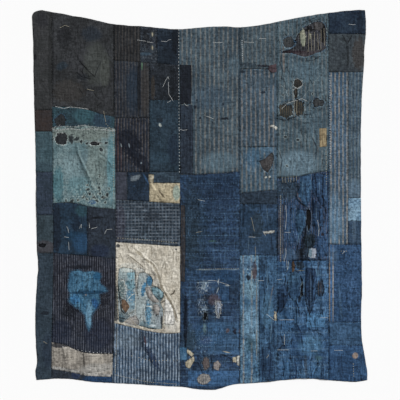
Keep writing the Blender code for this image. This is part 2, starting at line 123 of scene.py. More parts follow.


# A stripe: direction, pitch in millimetres, start in centimetres, its share, colour, strength
# Stains, each: across, down, half across, half down, colour, strength, raggedness, turn if any; a few
# dark ones that follow creases and folds are painted shade
# Moths: across, down, half across, half down, colour, share
# A block, a darned oblong: left, head, right, foot, colour, strength
# A painted fold or mark, a thin line along a fold, slit or mark: width in centimetres, colour,
# strength, and its lines of points; the dark lines along folds and slits are painted shade, the pale
# lines beside them painted highlights, and a few lines are the cloth's own marks, such as threads and
# pale shreds
# A bite, a small hole with a pale frayed rim and a dark middle that is partly the layer beneath and
# partly painted shade: across, down, half its size
CLOTHS = {
    "border_charcoal": cotton(
        "#303233", "#38393b", grain=0.5,
        stains=(
        (17.6, 28.5, 0.7, 1.7, "#17181b", 0.85, 0.3), (21, 10, 3.5, 4, "#27282d", 0.6, 0.6),
        (25, 30, 0.9, 26, "#232526", 0.7, 0.3))),
    "border_brown": cotton("#352e2c", "#302e30", grain=0.5),
    "border_slate": cotton(
        "#374b53", "#43575f", grain=0.5, stains=((22, 84, 6, 3, "#2f3f49", 0.6, 0.5),)),
    "border_navy": cotton("#29343f", "#313b4a", grain=0.5),
    "border_green": cotton(
        "#2e3a41", "#36434b", grain=0.5, frayed="#4a5258",
        stains=((22, 123.5, 6, 3.4, "#414146", 0.9, 0.25),)),
    "border_dark": cotton(
        "#2a3640", "#34404b", grain=0.6, worn=0.2, worn_colour="#44525e",
        stains=(
        (22.5, 156.5, 2, 1, "#131820", 0.8, 0.5), (24, 175, 3, 9, "#232d3b", 0.6, 0.5))),
    "charcoal_panel": cotton(
        "#2a2c2e", "#35373a", specks=0.1, speck="#5c605f",
        stains=(
        (32.2, 18.2, 3.9, 5.4, "#1d1f22", 0.7, 0.7), (31, 33, 3, 2, "#26343f", 0.6, 0.8, 20),
        (46, 17, 5, 4, "#27303a", 0.6, 0.8), (48.3, 32.5, 6.5, 11.5, "#404442", 0.75, 0.6),
        (52.5, 36, 2.5, 8, "#474b48", 0.7, 0.6), (41.5, 38.5, 3, 2, "#1b2026", 0.6, 1.3),
        (56.9, 36, 0.4, 28, "#191b1d", 0.8, 0.3), (26.5, 30, 0.4, 26, "#1f2123", 0.7, 0.3),
        (48, 44.5, 7, 1, "#232528", 0.6, 1, 12), (34, 46, 8, 6, "#3a3836", 0.6, 0.7)),
        painted_folds_and_marks=(
        (0.5, "#17191c", 0.7, ((39.5, 30.6), (42, 33.2), (44.2, 35.6), (47, 38.2))),
        (0.4, "#1c2023", 0.6, ((50.2, 31.4), (48.6, 34.6), (47.4, 37.8))),
        (0.4, "#191c1f", 0.6, ((42, 33.2), (41, 35.8), (42.2, 38.6))),
        (0.6, "#191c1f", 0.6, ((38.5, 36.4), (41, 38.6), (45, 39.6))),
        (0.4, "#1d2022", 0.6, ((39.4, 44.2), (41.4, 47.2)), ((46.8, 46.6), (49.2, 49.6))),
        (0.3, "#1d2022", 0.6, ((52.6, 19), (53, 24), (54.4, 28))))),
    "teal_band": cotton(
        "#25343c", "#2f464f", frayed="#2c3f47",
        stains=(
        (51, 60, 5, 5, "#273546", 0.6, 0.6), (42, 58, 5, 4, "#37565f", 0.7, 0.6))),
    "light_patch": cotton(
        "#566e74", "#6f8184", streaks=0.5, frayed="#a3b3b0",
        stains=(
        (40, 66.5, 16, 4.5, "#6f7873", 0.8, 0.5), (48, 82, 5.5, 16, "#6e7a76", 0.6, 0.7),
        (55.5, 84, 2, 17, "#5b858f", 0.6, 0.5), (36.5, 84, 6, 7, "#7c9297", 0.6, 0.8),
        (29, 92, 3, 9, "#3f6872", 0.7, 0.6), (40, 93, 7, 5, "#5d8088", 0.6, 0.9),
        (46.4, 101, 2.2, 1.2, "#2a4c74", 0.85, 0.5), (41.6, 80, 2.2, 6, "#4b6067", 0.6, 0.7, -20),
        (48, 98, 6, 4, "#4c666d", 0.5, 0.9)),
        painted_folds_and_marks=(
        (0.8, "#43565a", 0.6, ((37.6, 72), (38.6, 77), (40.6, 81.6), (43, 86.4), (45.4, 92))),
        (0.7, "#8fa3a4", 0.3, ((39.2, 73), (40.4, 78.6), (43.2, 83.6), (45.4, 88.6), (47.2, 94))),
        (0.5, "#4b5e62", 0.5, ((50.4, 77), (53.4, 79.6), (55.6, 84))),
        (0.4, "#4b5e62", 0.5, ((47.2, 88), (49.6, 94), (50.2, 99)))),
        bites=(
        (35.7, 69.2, 1.6), (38.2, 69.6, 1), (40.6, 70.8, 0.7), (43.6, 71.6, 0.6), (53, 71.5, 0.6),
        (50.6, 74.9, 0.8), (43.6, 92.6, 0.4), (44, 94.6, 0.6), (49.6, 94.4, 0.7), (45, 97, 0.6),
        (50, 96.6, 0.5), (47, 98.6, 0.8), (41.8, 98.6, 0.7), (39, 100, 0.5), (36, 100.6, 0.7),
        (54.6, 94.4, 0.4), (53.6, 97.4, 0.7), (51.6, 98.6, 0.8), (48.4, 100.4, 0.6), (43.4, 99.6, 0.5),
        (52.6, 101.2, 0.5), (49.6, 88.4, 0.3), (33, 100.2, 0.5), (46.4, 92, 0.3)),
        moths=(
        (48, 95, 10, 7, "#22343a", 0.6), (33, 99.5, 6, 2.5, "#24363d", 0.8),
        (46, 66.5, 11, 2.5, "#1f2b30", 0.6), (45, 97, 11, 6, "#b4c1bc", 0.7))),
    "navy_patch": cotton(
        "#1e2d3b", "#26394b",
        stains=(
        (28.3, 114, 2.2, 13, "#1a232f", 0.9, 0.3), (41, 105.5, 3.5, 3, "#2b454f", 0.8, 0.5),
        (38, 112, 2, 5, "#131c28", 0.7, 0.8), (37, 118, 4.5, 2.5, "#1c3a52", 0.6, 0.6),
        (40.7, 121.5, 4.4, 5, "#25415c", 0.85, 0.6))),
    "charcoal_patch": cotton(
        "#242b34", "#2d3540",
        stains=(
        (48.5, 108.8, 3.6, 0.7, "#12161b", 0.85, 0.5, 5), (50, 125.5, 5, 3.5, "#222c40", 0.7, 0.6),
        (46, 112, 2, 5, "#171c24", 0.6, 0.7, 25))),
    "fine_stripe_patch": cotton(
        "#181b24", "#1f2530", stripes=(("down", 11.5, 26.3, 0.34, "#575a64", 0.85),),
        stains=(
        (35, 155.5, 4, 3.5, "#12151d", 0.8, 0.9), (51.5, 146, 3.5, 8, "#1a1d26", 0.7, 1),
        (40, 133.5, 7, 1, "#14171f", 0.7, 0.8), (30, 166, 6, 6, "#1b253a", 0.4, 0.6),
        (49, 167, 7, 8, "#1b2438", 0.4, 0.6)),
        moths=(
        (53, 152, 4, 8, "#61656a", 0.5), (35, 155, 4, 3, "#555a61", 0.4))),
    "beige_patch": cotton(
        "#7f7a73", "#9a958d", specks=0.2, speck="#4f4a45", streaks=0.8,
        stains=(
        # The two thin dark marks at 32 and 42 across are painted shade along the creases there
        (32, 178, 0.6, 4.5, "#4d4a46", 0.7, 0.7, 8), (42, 180.5, 0.6, 5.5, "#4a4743", 0.75, 0.7, 5),
        (46, 185.5, 9, 0.9, "#5a5651", 0.7, 0.9, 8), (37, 179, 3, 3, "#a8a298", 0.6, 0.8),
        (49, 180.5, 3.5, 3, "#a59f95", 0.6, 0.8), (31.4, 172, 6, 1.7, "#26282f", 0.9, 0.3, 8),
        (48, 184.4, 9, 2.6, "#a9a8a4", 0.6, 0.8, 5))),
    "hem_strip": cotton(
        "#272d34", "#303743", specks=0.1,
        stains=(
        (38, 187.5, 2.2, 2, "#26334f", 0.7, 0.5), (50, 190, 9, 3, "#1f3a5a", 0.9, 0.4))),
    "brown_striped_panel": cotton(
        "#1e2023", "#27292c", stripes=(("down", 16, 57.2, 0.34, "#454240", 0.7),)),
    "speckled_patch": cotton(
        "#24282f", "#303841", specks=0.5, speck="#77797a",
        stains=(
        (76.2, 17, 0.9, 1.5, "#4f5450", 0.7, 0.9), (76.2, 23.8, 0.9, 1.5, "#4f5450", 0.7, 0.9),
        (76.2, 17.2, 0.3, 1, "#a79f8b", 0.85, 0.5), (76.2, 23.8, 0.3, 1, "#a09885", 0.85, 0.5),
        (72.5, 27, 3.4, 0.8, "#3c4f5e", 0.7, 0.6), (73, 20, 2, 4.5, "#16181c", 0.6, 0.9))),
    "navy_top_patch": cotton(
        "#1d2631", "#28323d",
        stains=(
        (83.8, 28, 5.5, 4.5, "#182029", 0.7, 0.3), (87.5, 20, 1.6, 8, "#10151c", 0.8, 0.5))),
    "striped_panel": cotton(
        "#22272f", "#2a3038", stripes=(("down", 16, 57.2, 0.34, "#4b4948", 0.7),),
        stains=(
        (66.5, 45, 3.5, 12, "#22303e", 0.6, 0.7), (69.4, 44, 0.9, 14.5, "#14171b", 0.8, 0.3),
        (72.5, 44.5, 2, 14.5, "#3b3733", 0.5, 0.4), (71, 33, 0.4, 2.2, "#4f6a56", 0.8, 0.2),
        (68.5, 29.4, 4, 0.9, "#37444f", 0.7, 0.4))),
    "dark_speckled_patch": cotton(
        "#1d2228", "#2a2f36", specks=0.25, speck="#5a6672",
        stains=(
        (86.5, 41, 2, 8, "#13171c", 0.7, 0.6), (76.5, 44, 1, 7, "#3a352f", 0.6, 0.6))),
    "navy_teal_patch": cotton(
        "#22303b", "#2b3a46", specks=0.1, speck="#5a7383",
        stains=(
        (80, 62.5, 0.7, 1.1, "#a9b0ac", 0.85, 1.2, 15), (80, 60, 1.5, 1.5, "#171d24", 0.7, 0.6),
        (86.5, 75, 3, 8, "#1b2634", 0.7, 0.6), (80, 79, 5, 3, "#2f4250", 0.6, 0.8))),
    "striped_patch": cotton(
        "#1d222b", "#262d38", stripes=(("down", 15, 58.4, 0.3, "#5a5552", 0.75),),
        stains=(
        (59, 72.5, 0.35, 13, "#4f3a39", 0.7, 0.5), (60.6, 76, 0.35, 10, "#433538", 0.6, 0.5),
        (64.5, 71, 5, 7.5, "#151a24", 0.85, 0.7, 35), (69.5, 80, 3.6, 8, "#151a24", 0.8, 0.8, 40),
        (60.6, 72.6, 0.3, 1, "#8b949a", 0.8, 0.9, 15), (64.6, 72.8, 0.3, 1.1, "#77838c", 0.8, 0.9, 10),
        (70.6, 81.5, 0.5, 0.6, "#707c85", 0.8, 1.1))),
    "violet_block": cotton("#31353f", "#3d414c", grain=0.6),
    "navy_block": cotton(
        "#1b2632", "#253241",
        stains=(
        (67.8, 88.8, 2.2, 1.2, "#78838b", 0.75, 1.5, 20),
        (73, 89.5, 0.5, 3.2, "#2f4966", 0.75, 0.6, 28), (63.5, 93, 0.3, 7, "#4d5c66", 0.5, 0.4)),
        moths=((70, 94, 6, 4, "#2f4763", 0.4),)),
    "blue_grey_band": cotton("#2a3743", "#364551", grain=1.3, worn=0.4, worn_colour="#5b6c78"),
    "small_cream_patch": cotton(
        "#9b9078", "#b0a68e", streaks=0.5,
        stains=(
        (88.3, 96.5, 1.9, 4, "#8b9c93", 0.85, 0.3), (79.2, 95, 0.45, 5.5, "#4a3f31", 0.8, 0.4, 38),
        (77.5, 93.5, 1.2, 3, "#c2b79c", 0.6, 0.6, 35))),
    "check_patch": cotton(
        "#212c37", "#2b3641", streaks=0.7,
        stripes=(
        ("across", 16.5, 101, 0.34, "#70777f", 0.7), ("down", 17, 58.2, 0.4, "#56626e", 0.75)),
        stains=(
        (60, 112, 3, 10, "#37303e", 0.4, 0.5), (76, 108, 4, 4, "#181e27", 0.5, 0.9, 30)),
        moths=((72, 118, 14, 3, "#6f8795", 0.4),)),
    "cream_patch": cotton(
        "#b2ab9d", "#cac5b9", streaks=0.5, grain=0.6, wrinkle_shade_and_relief=0.55, frayed="#c9c5ba",
        painted_folds_and_marks=(
        (0.8, "#7d7564", 0.7, ((68, 125), (72, 129.2), (76.8, 132.5), (79.3, 137.5))),
        (0.8, "#6d6552", 0.75, ((79.3, 137.5), (80.2, 141.7), (81.8, 145.4), (83.5, 148.3))),
        (0.9, "#6a6250", 0.8, ((83.5, 148.3), (86.8, 154.2), (88.6, 160.8))),
        (0.4, "#857d6b", 0.7, ((64.4, 127.8), (68.6, 131), (71.6, 133.6))),
        (0.5, "#4a4336", 0.85, ((85.2, 147.5), (86.6, 146.7), (87.5, 145))),
        (0.3, "#8b8370", 0.7, ((86.4, 124), (86.8, 130.4))),
        (0.3, "#8d8674", 0.6, ((60.2, 127), (61.6, 131))),
        (0.3, "#8f8775", 0.6, ((82, 129), (83.2, 136))),
        (0.3, "#918976", 0.6, ((86.2, 135), (85.6, 141))),
        (0.4, "#2a2b2e", 0.8, ((80.4, 151.4), (82.6, 150.6))),
        (0.3, "#4b483f", 0.7, ((84, 153.6), (85, 155.4))),
        (0.3, "#98907e", 0.6, ((63, 121.6), (64.6, 126)), ((75.4, 122), (76, 127.6))), (0.35, "#d6d3c8",
        0.6, ((70.4, 125.6), (74.6, 129.2), (78.2, 132.4)), ((81.6, 141.6), (83.4, 145.4), (86, 149.4),
        (88.4, 154)))),
        stains=(
        (59, 122.9, 1, 0.9, "#2e3238", 0.9, 0.6), (88, 124.6, 0.6, 0.5, "#3a3a3e", 0.9, 0.3),
        (61.6, 129, 4, 4.6, "#d3cdbf", 0.6, 0.8), (84, 162.5, 2.4, 0.8, "#6f8577", 0.6, 0.8),
        (64, 163, 5, 0.7, "#8b8677", 0.6, 0.7, 8), (58.2, 152, 1.3, 10, "#2b343b", 0.9, 0.4),
        (85.4, 160, 4.2, 6.5, "#d6d3cb", 0.7, 0.8), (70, 126, 2.6, 1.4, "#a39c8d", 0.6, 0.7, 35),
        (64, 133, 5, 1.6, "#d9dad2", 0.6, 0.8), (78.4, 141.2, 2, 2.2, "#d0cec6", 0.7, 0.8)),
        moths=(
        (67, 130.5, 6, 3, "#6a6455", 0.4), (84.5, 156, 2, 3.5, "#3a3f44", 0.5))),
    "ticking_patch": cotton(
        "#243447", "#374b60", streaks=0.6, wrinkle_shade_and_relief=0.6,
        stripes=(("down", 14.5, 56.9, 0.42, "#95a4b3", 0.85),),
        stains=(
        (71.4, 172, 1.2, 4.5, "#162135", 0.6, 0.8, 30), (76, 178.5, 1.6, 7, "#1a2740", 0.7, 0.6, 30),
        (72.5, 170, 0.5, 2.4, "#4a2c2a", 0.85, 0.4, 10), (84, 191.5, 8, 1.6, "#24405f", 0.85, 0.5),
        (64, 170, 6, 5, "#74848f", 0.3, 0.8), (73, 168.5, 3, 3.5, "#1b2634", 0.5, 0.8, 30))),
    "wide_striped_panel": cotton(
        "#3a4852", "#4b5a63", bands=0.25,
        stripes=(
        ("down", 22.8, 91.2, 0.3, "#2c3c48", 0.6), ("down", 22.8, 92.3, 0.26, "#76726c", 0.7)),
        wrinkle_shade_and_relief=0.5,
        stains=(
        (104.5, 49, 11, 6, "#3f5262", 0.5, 0.8), (97.5, 53.5, 0.8, 1, "#161d28", 0.9, 0.8),
        (98.5, 50, 0.5, 0.5, "#161d28", 0.9, 0.6), (100.2, 59, 0.5, 0.5, "#161d28", 0.9, 0.6),
        (111.5, 52, 0.6, 0.6, "#161d28", 0.9, 0.6), (113, 59.3, 2, 0.6, "#131923", 0.9, 0.9),
        (119.5, 45, 0.5, 42, "#27343f", 0.7, 0.3), (117, 33, 3, 5, "#566a76", 0.5, 0.8),
        (110, 81, 9, 5, "#5f7683", 0.5, 0.6))),
    "indigo_panel": cotton(
        "#203044", "#2d425d", grain=1.1, worn=0.6, worn_colour="#4a6580", bands=0.8, specks=0.05,
        wrinkle_shade_and_relief=0.5,
        stripes=(
        ("across", 37, 90, 0.05, "#5b7890", 0.5), ("down", 59, 92, 0.04, "#4b6a86", 0.4)),
        blocks=(
        (91, 88, 119.5, 92, "#22374f", 0.6), (91, 134.2, 119.4, 140, "#233c58", 0.5),
        (110, 142.6, 114.6, 150.6, "#2d4c6e", 0.5), (114.6, 142.6, 119.4, 152, "#213247", 0.6),
        (108.4, 151.8, 115.8, 157.8, "#1d2d42", 0.6), (90.5, 166, 100, 175, "#2a3d4e", 0.5),
        (104, 161, 119.4, 177, "#426384", 0.5), (94, 185.4, 119.4, 193, "#416790", 0.6)),
        painted_folds_and_marks=(
        (0.35, "#8fa3b0", 0.7, ((98.8, 134.8), (106, 134.9), (113, 134.7), (119.6, 134.8))),
        (0.3, "#8fa3b0", 0.6, ((98.8, 141.2), (105.8, 141.2))),
        (0.35, "#b4c0c6", 0.8, ((112.5, 142.8), (115, 142.8))),
        (0.35, "#aab6be", 0.8, ((109.2, 144), (108.4, 146.4))),
        (0.3, "#9aabb6", 0.7, ((109.2, 139.4), (109.3, 142.2))),
        (0.3, "#16233a", 0.7, ((114.6, 142.8), (114.7, 150.4)), ((108.6, 157.8), (115.8, 157.8))),
        (0.5, "#141a22", 0.8, ((94, 176), (96, 180))), (0.4, "#141c26", 0.8, ((99, 181.4), (101, 186)),
        ((105.6, 179.6), (106.4, 185.4)), ((101.6, 178), (104.6, 178.6))),
        (0.4, "#18212c", 0.8, ((110, 177), (114, 178.6), (118, 181.6))),
        (0.4, "#b3ab95", 0.7, ((111.6, 175.6), (115, 176.4)))),
        stains=(
        (95.5, 110, 4.5, 22, "#2b3944", 0.6, 0.8), (113.5, 96, 5.5, 8, "#1e3049", 0.5, 0.6),
        (112, 139, 6, 4, "#24405e", 0.5, 0.7), (105, 167, 9, 7, "#31506f", 0.5, 0.9),
        # The near-black one at 92.8 across is painted shade in the fold beside the seam
        (95, 170, 3, 9, "#25353f", 0.6, 0.7), (92.8, 160, 1.1, 13.5, "#0c131f", 0.9, 0.5),
        (102.2, 143, 1.2, 2.4, "#7d909e", 0.6, 1.8), (102.4, 154.6, 1.4, 1.4, "#76899a", 0.6, 1.8),
        (102.2, 155.8, 1.3, 0.8, "#1d2632", 0.9, 0.8), (106.9, 149.8, 3.2, 2.9, "#453f47", 0.9, 0.6),
        (103.2, 148.4, 1.7, 1.7, "#181c26", 0.8, 1.3), (103.8, 158, 0.5, 2.2, "#161b22", 0.9, 0.8),
        (102.4, 164, 0.9, 2.6, "#708a8c", 0.5, 1.8), (103, 170, 3, 2, "#43557a", 0.5, 1.6),
        (113.8, 165.4, 0.9, 1.2, "#625659", 0.8, 0.8), (117.3, 165.6, 0.7, 1.7, "#1f1e2a", 0.9, 0.8),
        (120, 165.4, 0.7, 1, "#5c5054", 0.7, 0.8), (106.2, 120.5, 2.2, 0.35, "#47655c", 0.6, 0.6),
        (91.7, 192, 3, 1.5, "#0f1c2e", 0.6, 0.8), (105, 96, 15, 15, "#1e2d40", 0.6, 0.4),
        (97, 116, 7, 22, "#22323f", 0.5, 0.6)),
        moths=(
        (101.5, 143.5, 3.8, 4, "#a9b5bb", 0.9), (101, 153, 3, 6, "#9fadb6", 0.8),
        (108.4, 154.5, 1.8, 5, "#c3c8c6", 0.9), (103, 172, 7, 7, "#6f8798", 0.6),
        (104, 152, 5, 8, "#131a26", 0.6))),
    "plain_panel": cotton(
        "#3c4a53", "#4b5a63",
        stripes=(
        ("down", 22, 120.6, 0.28, "#6c6b67", 0.6), ("down", 22, 121.7, 0.25, "#303e48", 0.45)),
        wrinkle_shade_and_relief=0.6,
        stains=(
        (124, 32.5, 4, 1.4, "#2a3640", 0.7, 1), (131.5, 33, 3, 0.6, "#20222a", 0.9, 0.7, -4))),
    "strong_striped_panel": cotton(
        "#3b4b57", "#4b5d6b",
        stripes=(
        ("down", 22.4, 119.9, 0.28, "#7b7671", 0.85), ("down", 22.4, 121, 0.28, "#2b3d4b", 0.65)),
        wrinkle_shade_and_relief=0.6,
        stains=(
        (130, 41, 8.5, 3.5, "#404f5a", 0.7, 0.8), (131.5, 46.2, 1.4, 0.6, "#1c2530", 0.9, 0.6),
        (121, 36, 1.4, 0.7, "#222d38", 0.8, 1))),
    "lower_striped_panel": cotton(
        "#3b4f5c", "#4f6474",
        stripes=(
        ("down", 22.4, 119.9, 0.28, "#787570", 0.75), ("down", 22.4, 121, 0.28, "#2b4357", 0.6)),
        wrinkle_shade_and_relief=0.6,
        stains=(
        (127, 79, 4, 5, "#42647e", 0.5, 1.1), (133.5, 74.5, 4, 2.6, "#4d6b82", 0.6, 1, -25),
        (133, 88.6, 0.6, 0.5, "#c0c2bb", 0.9, 0.4), (134.8, 88.4, 0.5, 0.5, "#c0c2bb", 0.9, 0.4))),
    "dark_piece": cotton("#232f3c", "#2d3a48", grain=1.3, worn=0.3, worn_colour="#46586a"),
    "indigo_piece": cotton(
        "#223548", "#30455d", worn=0.5, worn_colour="#4c6379", bands=0.6, wrinkle_shade_and_relief=0.5,
        blocks=(
        (120.4, 106, 127, 112, "#1f3348", 0.5), (127, 114, 138, 127, "#2c4056", 0.5)),
        stains=(
        (128.5, 113.5, 3.4, 8, "#253037", 0.6, 0.7), (135, 100.5, 2.5, 4, "#1c2938", 0.6, 0.6)),
        painted_folds_and_marks=(
        (0.4, "#121b28", 0.7, ((121, 96), (122, 104), (121.4, 112))),
        (0.35, "#131d2b", 0.7, ((129.6, 100), (130.6, 107)), ((135.6, 118), (136.2, 126))),
        (0.3, "#5d7488", 0.6, ((133.4, 103), (133.8, 111)), ((124.4, 119), (124.2, 126))))),
    "light_striped_strip": cotton(
        "#426480", "#617f93", grain=1.4,
        stripes=(
        ("down", 41, 119.6, 0.16, "#8d877c", 0.85), ("down", 13.5, 120.6, 0.3, "#3a5f80", 0.5)),
        bands=0.4, wrinkle_shade_and_relief=0.8,
        stains=(
        (127.3, 135.5, 1.3, 5, "#4a3f42", 0.9, 0.5), (128.3, 160, 0.45, 20, "#8d8678", 0.6, 0.5),
        (125, 145, 3, 5, "#6f8e9e", 0.6, 0.9), (124.2, 133.7, 0.6, 0.8, "#141a24", 0.9, 0.5),
        (124.2, 138.8, 1.1, 1.4, "#141a24", 0.9, 0.7, 20),
        (125, 168.5, 1.6, 3, "#1a232e", 0.85, 0.9, 10), (125, 172, 3, 4, "#33505e", 0.6, 0.9),
        (125.5, 161, 4, 9, "#6a8ca4", 0.6, 0.6), (123.6, 132, 4, 4, "#46607a", 0.5, 0.7)),
        moths=((125, 136, 2.5, 4, "#a7b6b7", 0.5),)),
    "blue_strip": cotton(
        "#2d4661", "#41607d", grain=1.2, worn=0.5, worn_colour="#5b7a93", bands=0.5, wrinkle_shade_and_relief=1,
        stripes=(("down", 16, 130, 0.3, "#22374f", 0.5),),
        stains=(
        (135.2, 150, 0.35, 8, "#6f6b66", 0.6, 0.8, -10),
        # The dark thin one at 132.6 across is painted shade along the crease there
        (132.6, 160.5, 0.5, 6.5, "#16253a", 0.85, 0.5, -14),
        (131.2, 131.5, 2.4, 4, "#293d52", 0.6, 0.7), (136, 171, 3, 5, "#22384f", 0.7, 0.6),
        (133.5, 181, 3.2, 9, "#22364f", 0.6, 0.8), (133.5, 155, 3, 9, "#50748f", 0.6, 0.8)),
        painted_folds_and_marks=(
        (0.4, "#13213a", 0.8, ((130.8, 172.4), (131.6, 180), (131.2, 189.6)), ((134.6, 170),
        (135.4, 178), (134.6, 188))), (0.4, "#16253a", 0.7, ((137.2, 156), (136.6, 166), (137.4, 178))),
        (0.35, "#16253a", 0.7, ((131.4, 140), (132.4, 148), (131.2, 154))),
        (0.3, "#6c8ba3", 0.6, ((133.4, 134), (134, 146)), ((136, 160), (135.2, 170))))),
    "grey_blue_panel": cotton(
        "#41535e", "#52646d", bands=0.2, frayed="#93a1a4",
        stripes=(
        ("down", 21, 139, 0.28, "#6d6c69", 0.55), ("down", 21, 140, 0.25, "#34454f", 0.45)),
        wrinkle_shade_and_relief=0.9,
        stains=(
        (152, 36, 9, 5, "#4b5f6b", 0.6, 0.8), (157, 62, 4.5, 8, "#4c606c", 0.5, 0.8, 20),
        (141.7, 29.5, 0.5, 6.5, "#776e68", 0.7, 0.5, 2), (149, 82, 10, 7, "#6b8290", 0.65, 0.6)),
        painted_folds_and_marks=(
        (0.5, "#1b222c", 0.8, ((139.6, 59.6), (142, 60.2), (146, 59), (150, 57.6), (154, 57.4))),
        (0.4, "#232b33", 0.7, ((153, 30.8), (156.5, 30.2), (160, 28.2))),
        (0.3, "#77868c", 0.6, ((150.6, 50), (155, 44), (160.5, 37))),
        (0.3, "#2a333b", 0.6, ((151, 55.4), (154, 52.6), (156.2, 49.8))), (0.3, "#8d9a9d", 0.7,
        ((140.8, 54.6), (143.4, 51.6), (147, 50.6), (151, 49.4), (154, 50.8)), ((146.2, 44.8),
        (148.6, 44.2), (151, 42.8))),
        (0.3, "#8d9a9d", 0.6, ((140.6, 42.6), (142.6, 44.6), (144, 47.6))),
        (0.4, "#2a3138", 0.7, ((139.6, 31), (141.4, 36), (140.6, 40))),
        (0.5, "#20262c", 0.7, ((162.8, 12), (164, 17), (163.8, 22), (162.6, 25.6))),
        (0.4, "#2a333b", 0.6, ((150.6, 12.8), (153.6, 10.6), (158, 8.8))), (0.4, "#242d36", 0.7,
        ((139, 75), (141, 80), (140, 86)), ((156, 69), (158.5, 74), (157.6, 80)))),
        bites=(
        (142.7, 68.5, 0.5), (149, 70, 0.6), (143.5, 83, 0.4), (156.4, 47, 0.4), (141.4, 47.6, 0.4)),
        moths=(
        (150, 57, 9, 5, "#9aa5a8", 0.3), (146, 46, 6, 7, "#9aa5a8", 0.3))),
    "torn_panel": cotton(
        "#213551", "#334d6a", grain=1.1, worn=0.5, worn_colour="#506a82", wrinkle_shade_and_relief=1.2,
        frayed="#6d8294", stripes=(("down", 12.5, 138.8, 0.28, "#656169", 0.6),),
        stains=(
        (143.5, 94.5, 6.5, 6.5, "#283640", 0.75, 0.8), (153.5, 89.5, 2.5, 4.5, "#3b5a76", 0.7, 0.6),
        (157.6, 92.5, 1.8, 6, "#233146", 0.8, 0.5), (161.8, 94, 2.2, 7, "#26384f", 0.7, 0.6),
        (146.5, 113, 4.5, 11, "#2c4766", 0.6, 0.9), (154.6, 120.5, 3.2, 4.5, "#1c282d", 0.85, 0.8),
        (151.5, 127, 5, 4, "#182127", 0.75, 1), (145, 127.5, 3.5, 3.5, "#46607a", 0.6, 0.9),
        (161, 122, 3, 7, "#2a4564", 0.7, 0.7), (161.2, 117.2, 0.8, 0.8, "#2a2326", 0.9, 0.7)),
        painted_folds_and_marks=(
        (0.6, "#0c1015", 0.9, ((148, 99), (150.4, 101.8), (153, 103.4))), (0.5, "#10151c", 0.85,
        ((158.5, 92), (158.8, 98.6), (160.6, 101.2), (162.6, 103.6), (162.9, 107))),
        (0.6, "#12181f", 0.8, ((159.9, 110.4), (160, 116))),
        (0.5, "#101820", 0.8, ((156, 99), (155.8, 106))),
        (1.1, "#0a0e14", 0.85, ((153.6, 112), (152.4, 117), (150.8, 123), (150.6, 129))),
        (0.5, "#121a26", 0.8, ((149.4, 118), (148.8, 123), (147.8, 127))),
        (0.4, "#141c28", 0.8, ((158, 104), (158.8, 108), (157.6, 112))), (0.4, "#141c28", 0.7,
        ((141.2, 95), (142.2, 100), (141.6, 106)), ((145.2, 104.4), (145.6, 106.6))),
        (0.3, "#7f929f", 0.8, ((159, 87.6), (158.8, 92.4))),
        (0.3, "#8a9ba8", 0.8, ((159.2, 110), (159.3, 116.4))),
        (0.25, "#62788b", 0.7, ((161.7, 92.4), (161.7, 96.4))),
        (0.35, "#7d6f66", 0.8, ((161.8, 107.6), (161.8, 110.4))),
        (0.3, "#0f1216", 0.8, ((162.5, 107.6), (162.5, 110.4))),
        (0.3, "#6b7f90", 0.8, ((141.8, 124), (141.6, 131))),
        (0.5, "#5c7b94", 0.6, ((149.6, 116), (148.8, 121.6))),
        (0.25, "#63798c", 0.7, ((146.6, 105.4), (146.7, 111.6)), ((148.4, 104), (148.6, 112))),
        (0.25, "#5a7083", 0.7, ((144.4, 112), (144.6, 120))),
        (0.3, "#10161e", 0.8, ((153.6, 118.4), (155.4, 122.4))),
        (0.4, "#0f141b", 0.8, ((152, 123), (150.6, 127), (151, 130.8))),
        (0.4, "#101620", 0.7, ((157, 126), (159.4, 129), (158.6, 131)))),
        moths=(
        (142, 96, 4, 7, "#73858f", 0.3), (148, 112, 5, 12, "#7b8b97", 0.3))),
    "navy_panel": cotton(
        "#2a4564", "#41607f", grain=1.2, worn=0.6, worn_colour="#5b7a94", bands=0.7, wrinkle_shade_and_relief=1.2,
        stripes=(("across", 41, 160, 0.05, "#6f8aa0", 0.5),),
        blocks=(
        (138.3, 167.6, 142.5, 174.6, "#22344a", 0.7), (145.5, 166.6, 150.6, 174.6, "#28405f", 0.6),
        (152.6, 168.4, 160.2, 173.6, "#4f7390", 0.4), (153.4, 156.6, 162.6, 163.6, "#4f7aa0", 0.7)),
        stains=(
        (149.8, 132.6, 2.4, 2.4, "#12181c", 0.85, 0.8), (158, 136.6, 2.2, 1.8, "#4d6a82", 0.7, 0.8),
        (145.8, 143.2, 2, 4.2, "#30384c", 0.7, 0.8), (140.4, 150.5, 1.3, 5, "#121a29", 0.85, 0.8, -12),
        (155.3, 147.5, 2.4, 8.5, "#25354b", 0.8, 0.5), (160.2, 144.2, 1.9, 4.4, "#1d2733", 0.8, 0.6),
        (144, 160.5, 4.5, 5, "#33567a", 0.5, 0.8), (155, 172.5, 6, 5.4, "#557f9f", 0.45, 0.8),
        (152.8, 183, 0.8, 5.5, "#38424e", 0.7, 0.7), (159.4, 179.2, 1.5, 1.4, "#5d8590", 0.5, 1.5),
        (145.2, 179.2, 0.5, 0.5, "#1a1c22", 0.9, 0.5), (142.8, 184, 2.4, 5, "#41678b", 0.5, 0.9),
        (157.4, 185, 3, 4, "#41678b", 0.5, 0.9)),
        painted_folds_and_marks=(
        (0.6, "#0c121c", 0.9, ((146.8, 137), (144.6, 138.8), (143.4, 142.6), (143.9, 146.2),
        (145.5, 149.2))), (0.75, "#070a10", 0.95, ((149.6, 137.6), (150.9, 140.4), (151.1, 144.4),
        (150.1, 147.8), (149.3, 151))),
        (0.5, "#0d131d", 0.85, ((147.6, 147.2), (148, 150.8), (149.2, 154.2), (149.5, 158))),
        (0.6, "#0d1320", 0.85, ((142.7, 139.6), (141.2, 146), (139.9, 151.4), (138.6, 156.2))), (0.5,
